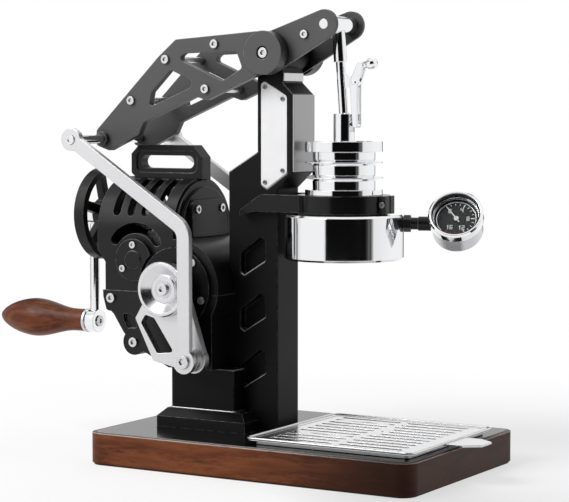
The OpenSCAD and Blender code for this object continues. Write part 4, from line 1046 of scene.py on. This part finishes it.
@dataclass
class Gauge(Unit):
    """Pressure gauge with a marked dial.

    The seals are given as their place out from the bezel's lip, up from the bezel's foot, and radius.
    """

    finishes: Finishes = (
        (Shop.SATIN_BLACK, ("gauge_stem",)),
        (Shop.CHROME, ("gauge_bezel",)),
        (Shop.STEEL, ("gauge_case",)),
        (Shop.DIAL_BLACK, ("gauge_dial",)),
        (Shop.DIAL_WHITE, ("gauge_needle",)),
        (Shop.GLASS, ("gauge_lens",)),
    )
    group_x: float = 0.0355
    height: float = 0.1805
    reach: float = 0.083
    turn: float = 20.0
    tilt: float = 36.0
    dial_top: float = 0.00664
    bezel_z: float = 0.00704
    bezel_r: float = 0.0200
    mark_h: float = 0.00012
    scale_r: float = 0.0130
    ring_r: float = 0.0143
    ring_tube: float = 0.0004
    lip: float = 0.003
    wall_t: float = 0.0001
    wall_z: tuple[float, float] = (0.0028, 0.0058)
    bezel_seal: Point = (0.0003, 0.0064, 0.00045)
    case_seal: Point = (0.0019, -0.0003, 0.0005)
    hoop_steps: int = 72
    tube_steps: int = 10
    first_angle: float = 127.0
    sweep: float = 250.0
    marks: int = 16
    marks_to_figure: int = 4
    long_mark: tuple[float, float] = (0.0022, 0.0008)
    short_mark: tuple[float, float] = (0.0012, 0.0005)
    red_from: float = 0.76
    figures: tuple[str, ...] = ("0", "4", "8", "12", "16")
    figure_h: float = 0.0030
    figure_inset: float = 0.0046
    figure_pitch: float = 1.5
    stroke_w: float = 0.0006
    strokes: dict[str, tuple[tuple[float, float, float, float], ...]] = field(default_factory=lambda: {
        "0": ((0, 0, 0, 2), (0, 2, 1, 2), (1, 2, 1, 0), (1, 0, 0, 0)),
        "1": ((0.5, 0, 0.5, 2), (0.5, 2, 0.15, 1.6)),
        "2": ((0, 2, 1, 2), (1, 2, 1, 1), (1, 1, 0, 1), (0, 1, 0, 0), (0, 0, 1, 0)),
        "4": ((0, 2, 0, 1), (0, 1, 1, 1), (1, 2, 1, 0)),
        "6": ((1, 2, 0, 2), (0, 2, 0, 0), (0, 0, 1, 0), (1, 0, 1, 1), (1, 1, 0, 1)),
        "8": ((0, 0, 0, 2), (0, 2, 1, 2), (1, 2, 1, 0), (1, 0, 0, 0), (0, 1, 1, 1)),
    })

    def _place(self) -> Matrix:
        """The gauge's own frame: its face looks along +Z."""
        return (
            Matrix.Translation((self.group_x, 0.0, self.height))
            @ Matrix.Rotation(math.radians(self.turn), 4, "Z")
            @ Matrix.Translation((self.reach, 0.0, 0.0))
            @ Matrix.Rotation(math.radians(90.0 - self.tilt), 4, "X")
        )

    def _bar(self, mesh: bmesh.types.BMesh, start: Vector, end: Vector, width: float) -> None:
        """Adds a straight printed stroke.

        Args:
            mesh: The mesh that takes it.
            start: One end on the dial.
            end: The other end.
            width: The stroke's width.
        """
        along = (end - start).normalized()
        side = Vector((-along.y, along.x)) * width / 2
        reach = along * width / 2
        corners = [start - reach - side, end + reach - side, end + reach + side, start - reach + side]
        add_block(mesh, [tuple(c) for c in corners], self.dial_top, self.dial_top + self.mark_h, self._place())

    def _hoop(self, name: str, profile: Section, slot: str, finish: Shop) -> None:
        """Builds a ring round the gauge's axis.

        Args:
            name: The piece's name.
            profile: Radius and height of the corners of its section.
            slot: Not used.
            finish: The finish that is laid on it.
        """
        mesh = bmesh.new()
        place = self._place()
        join_round(mesh, [
            [mesh.verts.new(place @ Vector((r * math.cos(t), r * math.sin(t), z))) for r, z in profile]
            for t in ring_turns(self.hoop_steps)
        ])
        new_piece(name, mesh, "frame", finish)

    def _hoops(self) -> None:
        """Builds the bright ring on the dial, a thin dark wall above it that paints the shade in the bezel's recess,
        and two seals on the bezel.
        """
        inner = self.bezel_r - self.lip
        low, high = (self.bezel_z + z for z in self.wall_z)
        wall = [(inner - self.wall_t, low), (inner, low), (inner, high), (inner - self.wall_t, high)]
        self._hoop("dial_ring", self._round(self.ring_r, self.dial_top, self.ring_tube), "chrome", Shop.CHROME)
        # A thin black sleeve over the bezel's bright inner wall: painted shade.
        self._hoop("dial_shade_wall", wall, "dial_black", Shop.DIAL_BLACK)
        for name, (out, rise, tube) in (("bezel_seal", self.bezel_seal), ("case_seal", self.case_seal)):
            self._hoop(name, self._round(inner + out, self.bezel_z + rise, tube), "dial_black", Shop.RUBBER)

    def _round(self, radius: float, height: float, tube: float) -> list[tuple[float, float]]:
        """Section of a round ring.

        Args:
            radius: The ring's radius.
            height: Where it lies on the gauge's axis.
            tube: Radius of its section.

        Returns:
            Radius and height of each corner.
        """
        return [(radius + tube * math.cos(t), height + tube * math.sin(t)) for t in ring_turns(self.tube_steps)]

    def _out(self, share: float) -> Vector:
        """Direction on the dial of a share of the scale."""
        angle = math.radians(self.first_angle - self.sweep * share)
        return Vector((math.cos(angle), math.sin(angle)))

    def _figure(self, mesh: bmesh.types.BMesh, figure: str, middle: Vector) -> None:
        """Adds a number to the print.

        Args:
            mesh: The mesh that takes it.
            figure: The number.
            middle: Where it stands on the dial.
        """
        step = self.figure_h / 2
        width = len(figure) * step * self.figure_pitch - step * (self.figure_pitch - 1.0)
        for place, digit in enumerate(figure):
            corner = middle + Vector((-width / 2 + place * step * self.figure_pitch, -self.figure_h / 2))
            for x0, y0, x1, y1 in self.strokes[digit]:
                start, end = corner + step * Vector((x0, y0)), corner + step * Vector((x1, y1))
                self._bar(mesh, start, end, self.stroke_w)

    def build(self) -> None:
        """Builds the scale with its figures and red end, and the rings round the dial."""
        scale, red = bmesh.new(), bmesh.new()
        for mark in range(self.marks + 1):
            share = mark / self.marks
            out = self._out(share)
            length, width = self.short_mark if mark % self.marks_to_figure else self.long_mark
            mesh = red if share > self.red_from else scale
            self._bar(mesh, out * (self.scale_r - length), out * self.scale_r, width)
        for number, figure in enumerate(self.figures):
            out = self._out(number / (len(self.figures) - 1))
            self._figure(scale, figure, out * (self.scale_r - self.figure_inset))
        self._hoops()
        new_piece("dial_scale", scale, "frame", Shop.DIAL_WHITE)
        new_piece("dial_red_zone", red, "frame", Shop.DIAL_RED)


@dataclass
class Studio:
    """Camera, floor, soft lamps, dark flags and a banded card that shiny metal mirrors.

    A lamp has its name, place, size and power. A flag has its first and last azimuth, distance and
    height. A band has its azimuth and how light the card is there.
    """

    azimuth: float = 30.601
    elevation: float = 4.083
    distance: float = 1.483085
    target: Point = (-0.01105, -0.00653, 0.1585)
    focal_px: float = 2000.0
    sensor: float = 36.0
    clip: tuple[float, float] = (0.05, 50.0)
    sky: float = 0.30
    floor_half: float = 6.0
    floor_white: float = 0.60
    floor_paint: Colour = (0.93, 0.93, 0.93)
    floor_fade: tuple[float, float] = (0.24, 0.60)
    floor_waver: float = 0.02
    lamps: tuple[tuple[str, Point, float, float], ...] = (
        ("key_lamp", (-1.0, -1.35, 1.45), 1.3, 45.0),
        ("fill_lamp", (1.60, 0.45, 0.95), 1.0, 5.0),
        ("back_lamp", (-0.3, 1.5, 1.2), 1.2, 8.0),
    )
    card_r: float = 1.35
    card_h: float = 1.6
    card_steps: int = 120
    flag: tuple[float, float, float, float] = (2.0, 78.0, 1.0, 1.3)
    cutter_at: Point = (0.085, -0.185, 0.110)
    cutter_half: tuple[float, float] = (0.075, 0.045)
    cloth: tuple[Colour, Colour] = ((0.002, 0.002, 0.002), (0.004, 0.004, 0.004))
    bands: tuple[tuple[float, float], ...] = (
        (-180.0, 0.80), (-178.0, 0.60), (-176.0, 0.02), (-169.0, 0.02), (-166.0, 1.0), (-133.0, 1.0), (-130.0, 0.02),
        (-112.0, 0.02), (-107.0, 0.90), (-103.0, 0.90), (-102.0, 0.08), (-98.0, 0.08), (-97.0, 0.95), (-82.0, 0.85),
        (-81.0, 0.05), (-77.0, 0.05), (-75.0, 0.62), (-58.0, 1.0), (-6.0, 1.0), (-3.0, 0.004), (70.0, 0.004),
        (75.0, 0.05), (77.0, 0.16), (80.0, 0.03), (84.0, 0.30), (87.0, 0.88), (110.0, 0.95), (130.0, 1.0),
        (165.0, 1.0), (180.0, 0.80),
    )

    def _heading(self, azimuth: float) -> Vector:
        """Level direction from the object towards an azimuth."""
        angle = math.radians(azimuth)
        return Vector((math.sin(angle), -math.cos(angle), 0.0))

    def camera(self) -> None:
        """Sets the camera at the photograph's angle."""
        rise = math.radians(self.elevation)
        back = self._heading(self.azimuth) * math.cos(rise) + Vector(UP) * math.sin(rise)
        data = bpy.data.cameras.new("camera")
        data.sensor_width = self.sensor
        data.lens = self.sensor * self.focal_px / IMAGE_W
        data.clip_start, data.clip_end = self.clip
        made = bpy.data.objects.new("camera", data)
        made.rotation_mode = "QUATERNION"
        made.location = Vector(self.target) + back * self.distance
        made.rotation_quaternion = (-back).to_track_quat("-Z", "Y")
        bpy.context.scene.collection.objects.link(made)
        bpy.context.scene.camera = made

    def lights(self) -> None:
        """Hangs the soft lamps and paints the white surroundings."""
        for name, place, size, power in self.lamps:
            data = bpy.data.lights.new(name, "AREA")
            data.shape, data.size, data.energy = "SQUARE", size, power
            made = bpy.data.objects.new(name, data)
            made.location = place
            made.rotation_euler = (Vector(self.target) - Vector(place)).to_track_quat("-Z", "Y").to_euler()
            bpy.context.scene.collection.objects.link(made)
        graph = Graph.surroundings()
        strength = self.sky + graph.seen() * (1.0 - self.sky)
        graph.end(graph.node("ShaderNodeBackground", None, {"Color": (1.0, 1.0, 1.0, 1.0), "Strength": strength}))

    def floor(self) -> None:
        """Lays a pale floor that fades into the white surroundings."""
        graph = Graph.material("pale_floor")
        x, y, _ = graph.axes()
        waver = graph.noise(graph.place(), scale=9.0) * self.floor_waver
        far = ((x * x + y * y).root() + waver).step(*self.floor_fade)
        paint = graph.node("ShaderNodeBsdfDiffuse", None, {"Color": (*self.floor_paint, 1.0)})
        glow = graph.node("ShaderNodeEmission", None, {"Color": (1.0, 1.0, 1.0, 1.0), "Strength": 1.0})
        share = (self.floor_white + far * (1.0 - self.floor_white)) * graph.seen()
        material = graph.end(graph.node("ShaderNodeMixShader", None, {0: share, 1: paint, 2: glow}))
        mesh = bmesh.new()
        mesh.faces.new([mesh.verts.new(corner) for corner in rectangle(self.floor_half, self.floor_half)])
        self._set_stage("floor", mesh, material)

    def _set_stage(self, name: str, mesh: bmesh.types.BMesh, material: bpy.types.Material) -> bpy.types.Object:
        """Puts a piece of the studio in the scene.

        Args:
            name: Its name.
            mesh: Its mesh, which is freed.
            material: Its material.

        Returns:
            The object.
        """
        made = new_object(name, mesh, material)
        return made

    def surround(self) -> None:
        """Stands a round card about the object, with soft dark bands that only reflections show."""
        graph = Graph.material("banded_card")
        x, y, _ = graph.axes()
        share = graph.math("ARCTAN2", x, 0.0 - y) * (0.5 / math.pi) + 0.5
        stops = [((azimuth + 180.0) / 360.0, (light, light, light)) for azimuth, light in self.bands]
        material = graph.surface(
            base_color=(0.0, 0.0, 0.0),
            roughness=1.0,
            specular_ior_level=0.0,
            emission_color=graph.ramp(share, *stops),
            emission_strength=1.0,
        )
        card = self._set_stage("banded_card", self._curtain(0.0, 360.0, self.card_r, self.card_h), material)
        card.visible_camera = card.visible_diffuse = card.visible_shadow = False

    def _curtain(self, first: float, last: float, radius: float, height: float) -> bmesh.types.BMesh:
        """A curved upright sheet about the object.

        Args:
            first: The azimuth where it starts.
            last: The azimuth where it ends.
            radius: Its distance.
            height: Its height.

        Returns:
            The mesh.
        """
        mesh = bmesh.new()
        turns = [first + (last - first) * step / self.card_steps for step in range(self.card_steps + 1)]
        low = [mesh.verts.new(self._heading(turn) * radius) for turn in turns]
        high = [mesh.verts.new(foot.co + Vector(UP) * height) for foot in low]
        for i in range(self.card_steps):
            mesh.faces.new((low[i], low[i + 1], high[i + 1], high[i]))
        return mesh

    def dark_flags(self) -> None:
        """Stands a dark flag by the near corner and a cutter between the key lamp and that corner."""
        graph = Graph.material("dark_flag")
        weave = graph.noise(graph.place(), scale=40.0)
        material = graph.surface(base_color=graph.mix(weave, *self.cloth), roughness=1.0, specular_ior_level=0.0)
        flag = self._set_stage("dark_flag", self._curtain(*self.flag), material)
        flag.visible_camera = flag.visible_glossy = flag.visible_transmission = flag.visible_shadow = False
        mesh = bmesh.new()
        place = Vector(self.cutter_at)
        turn = (Vector(self.lamps[0][1]) - place).to_track_quat("Z", "Y")
        mesh.faces.new([mesh.verts.new(place + turn @ corner) for corner in rectangle(*self.cutter_half)])
        cutter = self._set_stage("cutter", mesh, material)
        cutter.visible_camera = cutter.visible_glossy = cutter.visible_transmission = cutter.visible_diffuse = False

    def build(self) -> None:
        """Sets up the whole studio."""
        bpy.context.scene.view_settings.view_transform = "Standard"
        self.camera()
        self.lights()
        self.floor()
        self.surround()
        self.dark_flags()


def main() -> None:
    """Dresses the machine and sets up the studio."""
    logging.basicConfig(level=logging.INFO, format="%(name)s: %(message)s")
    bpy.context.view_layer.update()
    for unit in (BaseUnit(), DripTray(), Column(), Lever(), GearCase(), Drive(), BrewGroup(), Gauge()):
        unit.build()
        unit.dress()
    Studio().build()


if __name__ == "__main__":
    main()
